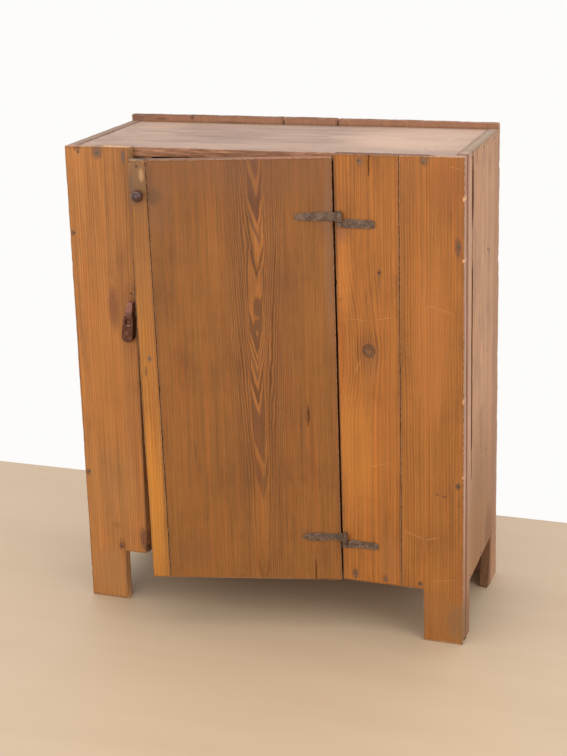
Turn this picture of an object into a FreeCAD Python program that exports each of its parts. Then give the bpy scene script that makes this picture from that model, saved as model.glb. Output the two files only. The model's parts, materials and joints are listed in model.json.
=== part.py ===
import FreeCAD, Part
import math
import os

# Jelly cupboard: a tall-legged pine case of nailed boards, with one door on
# wrought-iron pintle hinges and a carved turn button that holds it shut.
#
# Frame: X to the right, Y from the front to the back, Z up, in millimetres.
# Origin: on the floor, at the middle of the area that the cupboard and its
# ajar door cover.  Every piece is a solid of its own in a node of its own.

Vec = FreeCAD.Vector
ALONG_X = Vec(1, 0, 0)
ALONG_Y = Vec(0, 1, 0)
ALONG_Z = Vec(0, 0, 1)

# ---------------------------------------------------------------- sizes

# Case
case_width = 813.0
side_height = 984.0
case_depth = 331.0          # front boards' faces to the back edges of the sides
front_thickness = 22.0
side_thickness = 21.0
top_thickness = 20.0
bottom_thickness = 20.0
back_thickness = 16.0
back_lip = 14.0             # the back boards stand this far above the sides
top_drop = 1.5              # the top board lies this far below the sides' tops
floor_space = 111.0         # height of the cut-outs between the feet
arris = 1.5                 # rounding of the boards' worn corners

# Front boards, and the feet cut on them
left_board_top = 142.0      # the left board narrows towards the floor
left_board_foot = 131.0
left_foot_width = 84.0
inner_board_width = 122.0
outer_board_width = 124.0
right_foot_width = 80.0
board_gap = 1.0             # shrinkage gap between two boards side by side

# Feet cut on the side boards
front_foot_depth = 62.0     # from the case's front face
rear_foot_top = 50.0        # from the back edge of the side, at the cut's top
rear_foot_floor = 70.0      # and at the floor

# Back boards
back_left_width = 353.5
back_middle_width = 120.0

# Shelves, on cleats nailed to the sides
shelf_names = ("lower", "middle", "upper")
shelf_thickness = 20.0
shelf_setback = 18.0        # behind the front boards' backs, clear of the battens
cleat_thickness = 18.0
cleat_height = 30.0
end_play = 0.5              # a shelf is this much short of each side

# Door
door_side_gap = 41.0        # between the left board's foot and the closed door
door_gap = 3.0              # between the door and the board it hangs on
door_top_gap = 7.0          # below the tops of the front boards
door_drop = 1.0             # the door hangs this far below the case's floor board
door_seat = 0.5             # air behind the closed door
edge_strip_width = 36.0
ajar_angle = 13.9           # degrees open, as it stands
batten_width = 60.0
batten_thickness = 16.0
batten_inset = 14.0         # from the door's edges and from the stop
stop_lap = 8.0              # how far the closed door laps the stop
stop_hold = 20.0            # how far the stop reaches behind the left board
stop_thickness = 14.0

# Hinges: a strap with an eye on the door turns on a pin that stands up
# from a strap on the case
pin_beside_door = 11.0      # pin axis to the door's hinge edge
pin_out = 9.0               # pin axis in front of the faces
pin_radius = 3.5
pin_clearance = 0.05
pin_top = 4.0               # the pin stands this far above the eye
eye_wall = 3.0
eye_gap = 0.3               # between the eye and the shoulder it turns on
strap_thickness = 3.0
strap_height = 19.0
shoulder_height = 8.0
upper_hinge_drop = 113.0    # middle of the eye, below the door's head
lower_hinge_rise = 95.0     # middle of the eye, above the door's foot
door_strap_length = 86.0    # from the pin axis
case_strap_length = 68.0
case_strap_drop = 13.0      # the case's strap sits lower than the door's
strap_tip = 12.0            # length of the tapered tip
door_strap_nails = (26.0, 62.0)     # from the pin axis
case_strap_nails = (17.0, 50.0)

# Knob
knob_inset = 18.5           # from the door's free edge
knob_below_top = 67.0
knob_radius = 12.0
knob_stand = 16.0           # centre of the ball in front of the door
knob_neck_radius = 5.5
knob_collar_radius = 7.5
knob_collar = 2.5
knob_screw_radius = 2.2
knob_screw_head_radius = 4.4
knob_screw_head = 1.6
knob_screw_grip = 14.0

# Turn button
button_side = 127.0         # its screw, from the case's left side
button_height = 627.5
button_up = 42.0
button_down = 43.0
button_half_top = 7.5
button_half_waist = 6.8
button_half_shoulder = 10.8
button_half_belly = 12.5
button_thickness = 17.0
button_air = 1.0            # between the button and the boards
button_easing = 2.0
button_lean = 7.0           # degrees off upright, its top to the right
screw_radius = 3.0
screw_clearance = 0.05
screw_head_radius = 5.6
screw_crown_radius = 4.2
screw_head_height = 2.4
screw_recess_radius = 6.4
screw_recess = 5.0
screw_grip = 18.0

# Nails
nail_radius = 1.7
nail_tip_radius = 0.7
nail_head_radius = 3.6
nail_head = 1.6
nail_proud = 0.5
front_nail_length = 46.0
back_nail_length = 40.0
side_nail_length = 44.0
shelf_nail_length = 44.0
cleat_nail_length = 34.0
batten_nail_length = 32.0
strap_nail_length = 20.0

side_nail_inset = 45.0      # from the front boards' backs and the sides' back edges
shelf_nail_depths = (72.0, 224.0)   # behind the case's front face
back_nail_inset = 42.0      # from a back board's edges, or a quarter of a narrow board
cleat_nail_inset = 30.0     # from the cleats' ends
nail_dent_radius = 4.6      # dents in the back boards, which the heads are driven into
nail_dent = 0.7

# Places of the front nails, from the case's side that each board stands at
left_top_nails = (30.0, 71.0)
left_bottom_nails = (74.0,)
right_top_nails = (202.0, 78.0)
right_bottom_nails = (219.0, 155.0, 84.0)

# Nails into the sides' front edges: above the floor, and below the sides' tops
left_edge_nail_rise = 287.0
left_edge_nail_drop = 179.0
right_edge_nail_rise = 339.0
right_edge_nail_drop = 169.0

# ---------------------------------------------------------------- places

ajar = math.radians(ajar_angle)
opening_right_side = case_width - outer_board_width - inner_board_width
door_right_side = opening_right_side - door_gap
door_left_side = left_board_foot + door_side_gap
pin_side = door_right_side + pin_beside_door
knob_side = door_left_side + knob_inset

# The knob of the ajar door is the foremost point of the cupboard
knob_reach = (
    pin_out
    + (pin_side - knob_side) * math.sin(ajar)
    + (knob_stand - pin_out) * math.cos(ajar)
    + knob_radius
)

left = -case_width / 2
right = case_width / 2
front = -(case_depth + back_thickness - knob_reach) / 2
back = front + case_depth
behind_front = front + front_thickness
inner_left = left + side_thickness
inner_right = right - side_thickness

top_level = side_height - top_drop
under_top = top_level - top_thickness
floor_level = floor_space + bottom_thickness
door_foot = floor_space - door_drop
door_head = side_height - door_top_gap
door_thickness = front_thickness - door_seat
upper_hinge_height = door_head - upper_hinge_drop
lower_hinge_height = door_foot + lower_hinge_rise
hinge_heights = (upper_hinge_height, lower_hinge_height)

door_left = left + door_left_side
door_right = left + door_right_side
strip_right = door_left + edge_strip_width
stop_left = left + left_board_foot - stop_hold
stop_right = door_left + stop_lap
outer_board_left = right - outer_board_width
inner_board_left = left + opening_right_side
pin_x = left + pin_side
pin_y = front - pin_out
eye_inner = pin_radius + pin_clearance
eye_outer = eye_inner + eye_wall

shelf_front = behind_front + shelf_setback
shelf_room = under_top - floor_level - len(shelf_names) * shelf_thickness
compartment = shelf_room / (len(shelf_names) + 1)


def shelf_underside(number):
    """Height of the underside of shelf number 0, 1 or 2, counted from below."""
    return floor_level + compartment + number * (compartment + shelf_thickness)


# ---------------------------------------------------------------- helpers


def box(x0, x1, y0, y1, z0, z1):
    """A plain box between two corners."""
    return Part.makeBox(x1 - x0, y1 - y0, z1 - z0, Vec(x0, y0, z0))


def board(x0, x1, y0, y1, z0, z1):
    """A sawn board between two corners, with its corners worn round."""
    sawn = box(x0, x1, y0, y1, z0, z1)
    return sawn.makeFillet(arris, sawn.Edges)


def panel_xz(points, y0, y1):
    """A panel cut to an outline of (x, z) points, from y0 back to y1."""
    corners = [Vec(x, y0, z) for x, z in points]
    outline = Part.makePolygon(corners + corners[:1])
    sawn = Part.Face(outline).extrude(ALONG_Y * (y1 - y0))
    return sawn.makeFillet(arris, sawn.Edges)


def panel_yz(points, x0, x1):
    """A panel cut to an outline of (y, z) points, from x0 right to x1."""
    corners = [Vec(x0, y, z) for y, z in points]
    outline = Part.makePolygon(corners + corners[:1])
    sawn = Part.Face(outline).extrude(ALONG_X * (x1 - x0))
    return sawn.makeFillet(arris, sawn.Edges)


def nail(place, way, length):
    """A forged nail: a domed head at place and a tapered shank along way."""
    start = place - way * nail_proud
    shank = Part.makeCone(nail_radius, nail_tip_radius, length, start, way)
    disc = Part.makeCylinder(nail_head_radius, nail_head, start, way)
    head = disc.makeFillet(nail_head / 3, disc.Edges)
    return shank.fuse(head).removeSplitter()


def nails(places, way, length):
    """Several nails of one kind, as separate solids of one group."""
    return Part.makeCompound([nail(place, way, length) for place in places])


def swung(shape):
    """A door piece, made in the closed place, turned to where the door stands."""
    shape.rotate(Vec(pin_x, pin_y, 0), ALONG_Z, ajar_angle)
    return shape


def between(low, high, count):
    """Evenly spaced values from low to high."""
    return [low + (high - low) * step / (count - 1) for step in range(count)]


# ---------------------------------------------------------------- case boards


def make_side(x0):
    """A side board, whose cut-out at the floor leaves a front and a rear foot."""
    outline = [
        (behind_front, 0),
        (front + front_foot_depth, 0),
        (front + front_foot_depth, floor_space),
        (back - rear_foot_top, floor_space),
        (back - rear_foot_floor, 0),
        (back, 0),
        (back, side_height),
        (behind_front, side_height),
    ]
    return panel_yz(outline, x0, x0 + side_thickness)


def make_left_board():
    """The board left of the door, tapered on its door side, with a foot."""
    outline = [
        (left, 0),
        (left + left_foot_width, 0),
        (left + left_foot_width, floor_space),
        (left + left_board_foot, floor_space),
        (left + left_board_top, side_height),
        (left, side_height),
    ]
    return panel_xz(outline, front, behind_front)


def make_outer_board():
    """The board at the case's right corner, with a foot."""
    outline = [
        (outer_board_left, floor_space),
        (right - right_foot_width, floor_space),
        (right - right_foot_width, 0),
        (right, 0),
        (right, side_height),
        (outer_board_left, side_height),
    ]
    return panel_xz(outline, front, behind_front)


def make_inner_board():
    """The board that carries the hinges, from the case's floor to its top."""
    return board(
        inner_board_left, outer_board_left - board_gap,
        front, behind_front,
        floor_space, side_height,
    )


def make_door_stop():
    """A strip behind the left board, which the closed door laps."""
    return board(
        stop_left, stop_right,
        behind_front, behind_front + stop_thickness,
        floor_level, under_top,
    )


def make_top_board():
    """The top, let in between the sides and behind the front boards."""
    return board(inner_left, inner_right, behind_front, back, under_top, top_level)


def make_bottom_board():
    """The floor of the lowest compartment."""
    return board(inner_left, inner_right, behind_front, back, floor_space, floor_level)


def make_shelf(number):
    """A shelf that lies on its two cleats."""
    low = shelf_underside(number)
    return board(
        inner_left + end_play, inner_right - end_play,
        shelf_front, back,
        low, low + shelf_thickness,
    )


def make_cleat(number, x0):
    """A strip nailed to a side, under the end of a shelf."""
    high = shelf_underside(number)
    return board(x0, x0 + cleat_thickness, shelf_front, back, high - cleat_height, high)


top_nail_height = under_top + top_thickness / 2
bottom_nail_height = floor_space + bottom_thickness / 2


def shelf_middle(number):
    """Height of the middle of a shelf's thickness."""
    return shelf_underside(number) + shelf_thickness / 2


def back_nail_feet(side0, side1):
    """Where a back board's nail heads sit, in the floors of their dents."""
    heights = [bottom_nail_height, top_nail_height]
    heights += [shelf_middle(number) for number in range(len(shelf_names))]
    inset = min(back_nail_inset, (side1 - side0) / 4)
    dent_floor = back + back_thickness - nail_dent
    return [
        Vec(left + side, dent_floor, height)
        for side in (side0 + inset, side1 - inset)
        for height in heights
    ]


def make_back_board(side0, side1):
    """A back board, from the floor to the lip, between two distances from the left."""
    sawn = board(
        left + side0, left + side1,
        back, back + back_thickness,
        0, side_height + back_lip,
    )
    feet = back_nail_feet(side0, side1)
    return sawn.cut([
        Part.makeCylinder(nail_dent_radius, back_thickness, foot, ALONG_Y) for foot in feet
    ])


# ---------------------------------------------------------------- nails


def front_nails(case_side, inwards, top_nails, bottom_nails, edge_rise, edge_drop):
    """Nails through the front boards into the top, the floor and a side's edge."""
    places = [Vec(case_side + inwards * far, front, top_nail_height) for far in top_nails]
    places += [Vec(case_side + inwards * far, front, bottom_nail_height) for far in bottom_nails]
    edge_x = case_side + inwards * side_thickness / 2
    places += [Vec(edge_x, front, height) for height in (edge_rise, side_height - edge_drop)]
    return nails(places, ALONG_Y, front_nail_length)


def make_side_nails():
    """Nails through both sides into the ends of the top and the floor board."""
    depths = between(behind_front + side_nail_inset, back - side_nail_inset, 3)
    solids = []
    for height in (top_nail_height, bottom_nail_height):
        for depth in depths:
            solids.append(nail(Vec(left, depth, height), ALONG_X, side_nail_length))
            solids.append(nail(Vec(right, depth, height), -ALONG_X, side_nail_length))
    return Part.makeCompound(solids)


def make_shelf_nails():
    """Nails through both sides into the ends of the shelves."""
    solids = []
    for number in range(len(shelf_names)):
        for depth in shelf_nail_depths:
            on_left = Vec(left, front + depth, shelf_middle(number))
            on_right = Vec(right, front + depth, shelf_middle(number))
            solids.append(nail(on_left, ALONG_X, shelf_nail_length))
            solids.append(nail(on_right, -ALONG_X, shelf_nail_length))
    return Part.makeCompound(solids)


def make_back_nails():
    """Nails through the back boards into the top, floor and shelves."""
    places = []
    for side0, side1 in back_board_sides.values():
        places += back_nail_feet(side0, side1)
    return nails(places, -ALONG_Y, back_nail_length)


def make_cleat_nails():
    """Nails through the cleats into the sides."""
    solids = []
    depths = between(shelf_front + cleat_nail_inset, back - cleat_nail_inset, 3)
    for number in range(len(shelf_names)):
        height = shelf_underside(number) - cleat_height / 2
        for depth in depths:
            on_left = Vec(inner_left + cleat_thickness, depth, height)
            on_right = Vec(inner_right - cleat_thickness, depth, height)
            solids.append(nail(on_left, -ALONG_X, cleat_nail_length))
            solids.append(nail(on_right, ALONG_X, cleat_nail_length))
    return Part.makeCompound(solids)


# ---------------------------------------------------------------- hinges


def strap_plate(near, far, low, height):
    """A forged strap along X on the faces, whose far end tapers to a blunt tip."""
    step = strap_tip if far > near else -strap_tip
    middle = low + height / 2
    outline = [
        (near, low),
        (far - step, low),
        (far, middle - height / 4),
        (far, middle + height / 4),
        (far - step, low + height),
        (near, low + height),
    ]
    corners = [Vec(x, front - strap_thickness, z) for x, z in outline]
    face = Part.Face(Part.makePolygon(corners + corners[:1]))
    return face.extrude(ALONG_Y * strap_thickness)


def make_door_strap(height):
    """The door's strap: a plate, a jog forwards, and an eye round the pin."""
    low = height - strap_height / 2
    jog_x = door_right - strap_thickness
    plate = strap_plate(jog_x, pin_x - door_strap_length, low, strap_height)
    back_of_eye = pin_y + eye_outer
    jog = Part.makePolygon([
        Vec(jog_x, front - strap_thickness, low),
        Vec(pin_x, back_of_eye - strap_thickness, low),
        Vec(pin_x, back_of_eye, low),
        Vec(pin_x - eye_inner, back_of_eye, low),
        Vec(jog_x, front, low),
        Vec(jog_x, front - strap_thickness, low),
    ])
    web = Part.Face(jog).extrude(ALONG_Z * strap_height)
    ring = Part.makeCylinder(eye_outer, strap_height, Vec(pin_x, pin_y, low))
    bore = Part.makeCylinder(eye_inner, strap_height, Vec(pin_x, pin_y, low))
    return plate.fuse([web, ring]).cut(bore).removeSplitter()


def make_case_strap(height):
    """The case's strap: a plate, an arm to a shoulder, and the upright pin."""
    eye_low = height - strap_height / 2
    shoulder_top = eye_low - eye_gap
    low = height - case_strap_drop - strap_height / 2
    plate_x = pin_x + eye_outer + strap_thickness
    plate = strap_plate(plate_x, pin_x + case_strap_length, low, strap_height)
    arm = Part.makePolygon([
        Vec(pin_x, pin_y, shoulder_top - shoulder_height),
        Vec(pin_x, pin_y + eye_outer, shoulder_top - shoulder_height),
        Vec(plate_x - strap_thickness, front, shoulder_top - shoulder_height),
        Vec(plate_x, front, shoulder_top - shoulder_height),
        Vec(plate_x, front - strap_thickness, shoulder_top - shoulder_height),
        Vec(pin_x + eye_outer, pin_y, shoulder_top - shoulder_height),
        Vec(pin_x, pin_y, shoulder_top - shoulder_height),
    ])
    web = Part.Face(arm).extrude(ALONG_Z * shoulder_height)
    shoulder_foot = Vec(pin_x, pin_y, shoulder_top - shoulder_height)
    shoulder = Part.makeCylinder(eye_outer, shoulder_height, shoulder_foot)
    pin_length = shoulder_height + eye_gap + strap_height + pin_top
    pin = Part.makeCylinder(pin_radius, pin_length, shoulder_foot)
    return plate.fuse([web, shoulder, pin]).removeSplitter()


def strap_nails(places_from_pin, way, drop):
    """The nails of both straps of one kind, at distances from the pin."""
    places = []
    for height in hinge_heights:
        for distance in places_from_pin:
            x = pin_x + way * distance
            places.append(Vec(x, front - strap_thickness, height - drop))
    return nails(places, ALONG_Y, strap_nail_length)


# ---------------------------------------------------------------- door


def door_piece(x0, x1):
    """An upright board of the door, in the closed place."""
    return board(x0, x1, front, front + door_thickness, door_foot, door_head)


def make_batten(height):
    """A cross batten on the door's inner face, at the height of a hinge."""
    return board(
        stop_right + batten_inset, door_right - batten_inset,
        front + door_thickness, front + door_thickness + batten_thickness,
        height - batten_width / 2, height + batten_width / 2,
    )


def make_batten_nails():
    """Nails through the battens: one in the strip, two rows in the wide board."""
    on_strip = (stop_right + batten_inset + strip_right) / 2
    on_board = between(strip_right + batten_width, door_right - batten_width, 3)
    places = []
    for height in hinge_heights:
        for x in [on_strip] + on_board:
            for lift in (-batten_width / 4, batten_width / 4):
                y = front + door_thickness + batten_thickness
                places.append(Vec(x, y, height + lift))
    return nails(places, -ALONG_Y, batten_nail_length)


def make_knob():
    """The turned knob: a collar, a neck and a ball."""
    foot = Vec(left + knob_side, front, door_head - knob_below_top)
    collar = Part.makeCylinder(knob_collar_radius, knob_collar, foot, -ALONG_Y)
    neck = Part.makeCylinder(knob_neck_radius, knob_stand, foot, -ALONG_Y)
    ball = Part.makeSphere(knob_radius, foot - ALONG_Y * knob_stand)
    return ball.fuse([collar, neck]).removeSplitter()


def make_knob_screw():
    """The screw that holds the knob, put in from the door's inner face."""
    inside = Vec(left + knob_side, front + door_thickness, door_head - knob_below_top)
    length = door_thickness + knob_screw_grip
    shank = Part.makeCylinder(knob_screw_radius, length, inside, -ALONG_Y)
    head = Part.makeCylinder(knob_screw_head_radius, knob_screw_head, inside, ALONG_Y)
    return shank.fuse(head).removeSplitter()


# ---------------------------------------------------------------- turn button

button_x = left + button_side
button_face = front - button_air - button_thickness


def make_button():
    """The whittled button: a slim upper arm, a waist and a broad round belly."""
    flank = [
        (button_half_belly, -button_down + button_half_belly),
        (button_half_belly, -button_half_belly),
        (button_half_shoulder, button_half_top),
        (button_half_waist, button_up - 2 * button_half_belly),
        (button_half_top, button_up),
    ]
    mirrored = [(-x, z) for x, z in reversed(flank)]
    corners = [Vec(button_x + x, button_face, button_height + z) for x, z in flank + mirrored]
    lowest = Vec(button_x, button_face, button_height - button_down)
    edges = [Part.Arc(corners[-1], lowest, corners[0]).toShape()]
    for start, end in zip(corners[:-1], corners[1:]):
        edges.append(Part.LineSegment(start, end).toShape())
    block = Part.Face(Part.Wire(edges)).extrude(ALONG_Y * button_thickness)
    block = block.makeFillet(button_easing, block.Edges)
    centre = Vec(button_x, button_face, button_height)
    hole = Part.makeCylinder(screw_radius + screw_clearance, button_thickness, centre, ALONG_Y)
    recess = Part.makeCylinder(screw_recess_radius, screw_recess, centre, ALONG_Y)
    carved = block.cut(hole.fuse(recess))
    carved.rotate(centre, ALONG_Y, button_lean)
    return carved


def make_button_screw():
    """The screw that the button turns on, its head sunk in the recess."""
    seat = button_face + screw_recess - eye_gap
    head_foot = Vec(button_x, seat - screw_head_height, button_height)
    radii = (screw_crown_radius, screw_head_radius)
    head = Part.makeCone(*radii, screw_head_height, head_foot, ALONG_Y)
    length = front + screw_grip - head_foot.y
    shank = Part.makeCylinder(screw_radius, length, head_foot, ALONG_Y)
    return head.fuse(shank).removeSplitter()


# ---------------------------------------------------------------- assembly

middle_start = back_left_width
middle_end = back_left_width + back_middle_width
back_board_sides = {
    "left": (0, middle_start - board_gap),
    "middle": (middle_start, middle_end - board_gap),
    "right": (middle_end, case_width),
}

nodes = {
    "side_left": make_side(left),
    "side_right": make_side(inner_right),
    "stile_left": make_left_board(),
    "stile_right_inner": make_inner_board(),
    "stile_right_outer": make_outer_board(),
    "door_stop": make_door_stop(),
    "top_board": make_top_board(),
    "bottom_board": make_bottom_board(),
    "front_nails_left": front_nails(
        left, 1, left_top_nails, left_bottom_nails,
        left_edge_nail_rise, left_edge_nail_drop,
    ),
    "front_nails_right": front_nails(
        right, -1, right_top_nails, right_bottom_nails,
        right_edge_nail_rise, right_edge_nail_drop,
    ),
    "side_nails": make_side_nails(),
    "shelf_nails": make_shelf_nails(),
    "back_nails": make_back_nails(),
    "cleat_nails": make_cleat_nails(),
    "pintle_strap_upper": make_case_strap(upper_hinge_height),
    "pintle_strap_lower": make_case_strap(lower_hinge_height),
    "pintle_nails": strap_nails(case_strap_nails, 1, case_strap_drop),
    "turn_button": make_button(),
    "turn_button_screw": make_button_screw(),
}

for name, (side0, side1) in back_board_sides.items():
    nodes["back_board_" + name] = make_back_board(side0, side1)

for number, name in enumerate(shelf_names):
    nodes["shelf_" + name] = make_shelf(number)
    nodes["cleat_" + name + "_left"] = make_cleat(number, inner_left)
    nodes["cleat_" + name + "_right"] = make_cleat(number, inner_right - cleat_thickness)

door_nodes = {
    "door_board": door_piece(strip_right + board_gap, door_right),
    "door_edge_strip": door_piece(door_left, strip_right),
    "door_batten_upper": make_batten(upper_hinge_height),
    "door_batten_lower": make_batten(lower_hinge_height),
    "batten_nails": make_batten_nails(),
    "hinge_strap_upper": make_door_strap(upper_hinge_height),
    "hinge_strap_lower": make_door_strap(lower_hinge_height),
    "hinge_strap_nails": strap_nails(door_strap_nails, -1, 0),
    "door_knob": make_knob(),
    "knob_screw": make_knob_screw(),
}
for name, shape in door_nodes.items():
    nodes[name] = swung(shape)

os.makedirs("parts", exist_ok=True)
for name, shape in nodes.items():
    shape.exportStep("parts/" + name + ".step")

lowest = min(shape.BoundBox.ZMin for shape in nodes.values())
foremost = min(shape.BoundBox.YMin for shape in nodes.values())
rearmost = max(shape.BoundBox.YMax for shape in nodes.values())
print("nodes:", len(nodes))
print("lowest %.2f, foremost %.2f, rearmost %.2f" % (lowest, foremost, rearmost))
print("pin at", round(pin_x, 3), round(pin_y, 3), "front face at", round(front, 3))
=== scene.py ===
# %% [markdown]
# # A jelly cupboard of old pine
#
# The real object is a case of nailed pine boards, with one plank door on
# forged pintle hinges and a whittled turn button.  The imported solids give
# every piece its place.  This lesson dresses them: each board gets a worn
# mesh of its own and a pine finish with its own grain, and the iron, the
# knob and the button are remade as a smith, a turner and a whittler left
# them.  Nothing is moved, so the door still swings as it should.

import json
import math
import random

import bmesh
import bpy
import numpy as np
from mathutils import Matrix, Vector


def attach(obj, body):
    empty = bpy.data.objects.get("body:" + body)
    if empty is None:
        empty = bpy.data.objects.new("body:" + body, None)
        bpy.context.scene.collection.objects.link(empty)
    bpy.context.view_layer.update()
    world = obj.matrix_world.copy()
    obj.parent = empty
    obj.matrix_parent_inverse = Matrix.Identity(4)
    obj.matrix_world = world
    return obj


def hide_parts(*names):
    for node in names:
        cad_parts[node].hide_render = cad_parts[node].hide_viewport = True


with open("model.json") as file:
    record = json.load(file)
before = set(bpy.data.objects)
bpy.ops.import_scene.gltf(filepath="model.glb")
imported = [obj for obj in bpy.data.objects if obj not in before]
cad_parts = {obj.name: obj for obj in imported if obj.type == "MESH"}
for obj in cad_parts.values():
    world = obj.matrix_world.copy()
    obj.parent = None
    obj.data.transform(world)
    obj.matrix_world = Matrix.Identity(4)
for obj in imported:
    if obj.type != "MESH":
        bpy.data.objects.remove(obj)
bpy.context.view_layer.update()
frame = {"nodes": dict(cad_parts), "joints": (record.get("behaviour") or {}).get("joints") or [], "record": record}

# %% [markdown]
# Lengths are written in millimetres, as a joiner would say them, and leave
# the script in metres.  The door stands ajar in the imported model.  Its
# pieces are easier to think of with the door shut, so they are made shut and
# then turned about the hinge pin by the angle that the joint gives.

# %% The door's pin and how far it stands ajar
MM = 0.001
joints = {joint["name"]: joint for joint in frame["joints"]}
pin = Vector(joints["door_swing"]["pos_m"])
ajar = math.radians(-joints["door_swing"]["range_deg"][0])
stand_ajar = (
    Matrix.Translation(pin) @ Matrix.Rotation(ajar, 4, "Z") @ Matrix.Translation(-pin)
)
AS_PACKED = Matrix.Identity(4)


def node_box(node, stand=AS_PACKED):
    """A node's lowest and highest corner in millimetres, with its turn taken back."""
    turn = stand.inverted()
    points = np.array([turn @ v.co for v in frame["nodes"][node].data.vertices]) / MM
    return points.min(axis=0), points.max(axis=0)


print("pin at", tuple(round(x, 4) for x in pin), "ajar", round(math.degrees(ajar), 1))

# %% [markdown]
# The camera stands to the right of the cupboard and a little above it.  The
# image's long side spans the sensor, so the lens follows from the focal
# length in image points.  The lens looks at a point beside the middle of the
# image, so it is shifted.

# %% Camera
image_wide, image_high = 567, 756
focal_points = 1497.2
sight_across, sight_down = 253.0, 279.0
eye = Vector((0.9667, -2.7769, 1.4775))
look_round, look_down, lean = (math.radians(a) for a in (20.19, 14.75, -1.92))

ahead = Vector((
    -math.sin(look_round) * math.cos(look_down),
    math.cos(look_round) * math.cos(look_down),
    -math.sin(look_down),
))
level_right = ahead.cross(Vector((0, 0, 1))).normalized()
level_up = level_right.cross(ahead)
right = level_right * math.cos(lean) + level_up * math.sin(lean)
up = level_up * math.cos(lean) - level_right * math.sin(lean)

camera_data = bpy.data.cameras.new("camera")
camera_data.sensor_width = 36.0
camera_data.lens = focal_points / image_high * camera_data.sensor_width
camera_data.shift_x = (image_wide / 2 - sight_across) / image_high
camera_data.shift_y = (sight_down - image_high / 2) / image_high
camera = bpy.data.objects.new("camera", camera_data)
bpy.context.scene.collection.objects.link(camera)
camera.matrix_world = (
    Matrix.Translation(eye) @ Matrix((right, up, -ahead)).transposed().to_4x4()
)
bpy.context.scene.camera = camera
print("lens %.2f mm, shift %.3f %.3f" % (camera_data.lens, camera_data.shift_x, camera_data.shift_y))

# %% [markdown]
# ## A small kit for shader maths
#
# A finish is a tree of nodes.  Building it by hand takes pages, so one class
# wraps a socket and lets Python's operators add the Math nodes, and one
# method adds any other node: its type, its settings, then its sockets.


def operator(operation, swapped=False):
    """A Python operator that adds a Math node."""

    def method(self, other=0.0):
        pair = (other, self) if swapped else (self, other)
        return self.finish.node("Math", {"operation": operation}, dict(enumerate(pair)))

    return method


class Field:
    """A value or a colour that changes over a surface."""

    def __init__(self, finish, socket):
        self.finish = finish
        self.socket = socket

    __add__ = operator("ADD")
    __radd__ = operator("ADD", swapped=True)
    __sub__ = operator("SUBTRACT")
    __rsub__ = operator("SUBTRACT", swapped=True)
    __mul__ = operator("MULTIPLY")
    __rmul__ = operator("MULTIPLY", swapped=True)
    __truediv__ = operator("DIVIDE")
    __rtruediv__ = operator("DIVIDE", swapped=True)
    __abs__ = operator("ABSOLUTE")
    root = operator("SQRT")
    part = operator("FRACT")
    whole = operator("FLOOR")
    least = operator("MINIMUM")
    most = operator("MAXIMUM")

    def rise(self, low, high):
        """0 below low, 1 above high, smooth between; low may be the larger."""
        flip = low > high
        ends = {"From Min": min(low, high), "From Max": max(low, high)}
        ends.update({"Value": self, "To Min": float(flip), "To Max": float(not flip)})
        return self.finish.node("MapRange", {"interpolation_type": "SMOOTHSTEP"}, ends)


def paint(red, green, blue):
    """A colour as a paint chart gives it, 0 to 255, for a shader socket."""
    linear = []
    for level in (red, green, blue):
        share = level / 255
        linear.append(share / 12.92 if share < 0.04045 else ((share + 0.055) / 1.055) ** 2.4)
    return (*linear, 1.0)


class Finish:
    """A material, and the node tree behind it."""

    def __init__(self, name, **constants):
        self.material = bpy.data.materials.new(name)
        self.material.use_nodes = True
        self.tree = self.material.node_tree
        self.shader = self.tree.nodes["Principled BSDF"]
        for socket, value in constants.items():
            self.shader.inputs[socket.replace("_", " ")].default_value = value

    def node(self, kind, settings=None, sockets=None, out=0):
        """Adds a node of any type and gives the field of one of its outputs."""
        made = self.tree.nodes.new("ShaderNode" + kind)
        for name, value in (settings or {}).items():
            if name == "stops":
                ramp = made.color_ramp
                while len(ramp.elements) < len(value):
                    ramp.elements.new(1.0)
                for element, (position, colour) in zip(ramp.elements, value):
                    element.position = position
                    element.color = colour
            else:
                setattr(made, name, value)
        for name, value in (sockets or {}).items():
            if isinstance(value, Field):
                self.tree.links.new(value.socket, made.inputs[name])
            else:
                made.inputs[name].default_value = value
        return Field(self, made.outputs[out])

    def feed(self, **fields):
        """Links fields to the shader's sockets."""
        for name, field in fields.items():
            self.tree.links.new(field.socket, self.shader.inputs[name.replace("_", " ")])

    def places(self):
        """The three coordinates of the surface in the piece's own frame, in mm."""
        spot = self.node("TexCoord", out=3)
        split = self.node("SeparateXYZ", sockets={0: spot})
        return [Field(self, socket) * 1000 for socket in split.socket.node.outputs]

    def mix(self, share, first, second, how="MIX"):
        """A colour between two, or the first one multiplied or lit by the second."""
        settings = {"data_type": "RGBA", "blend_type": how}
        return self.node("Mix", settings, {0: share, 6: first, 7: second}, out=2)

    def cloud(self, fields, detail=2.0, rough=0.5):
        """Noise between 0 and 1 over one, two or three fields."""
        if len(fields) == 1:
            settings, sockets = {"noise_dimensions": "1D"}, {"W": fields[0]}
        else:
            spot = self.node("CombineXYZ", sockets=dict(enumerate(fields)))
            settings, sockets = {"noise_dimensions": "3D"}, {"Vector": spot}
        sockets.update({"Scale": 1.0, "Detail": detail, "Roughness": rough})
        return self.node("TexNoise", settings, sockets)

    def relief(self, height, strength, distance):
        """Small relief that the light sees and the outline doesn't."""
        sockets = {"Height": height, "Strength": strength, "Distance": distance}
        self.feed(Normal=self.node("Bump", sockets=sockets))

    def vertex_value(self, name):
        """A value that the mesh carries at its vertices."""
        return self.node("Attribute", {"attribute_name": name}, out=2)


print("shader kit ready")

# %% [markdown]
# ## Stage and light
#
# The cupboard stands on a plain pale floor before a plain white wall, under
# wide soft lamps.  The wall is only there for the camera and for
# reflections: it throws no light, and it can't be seen from behind.


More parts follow.
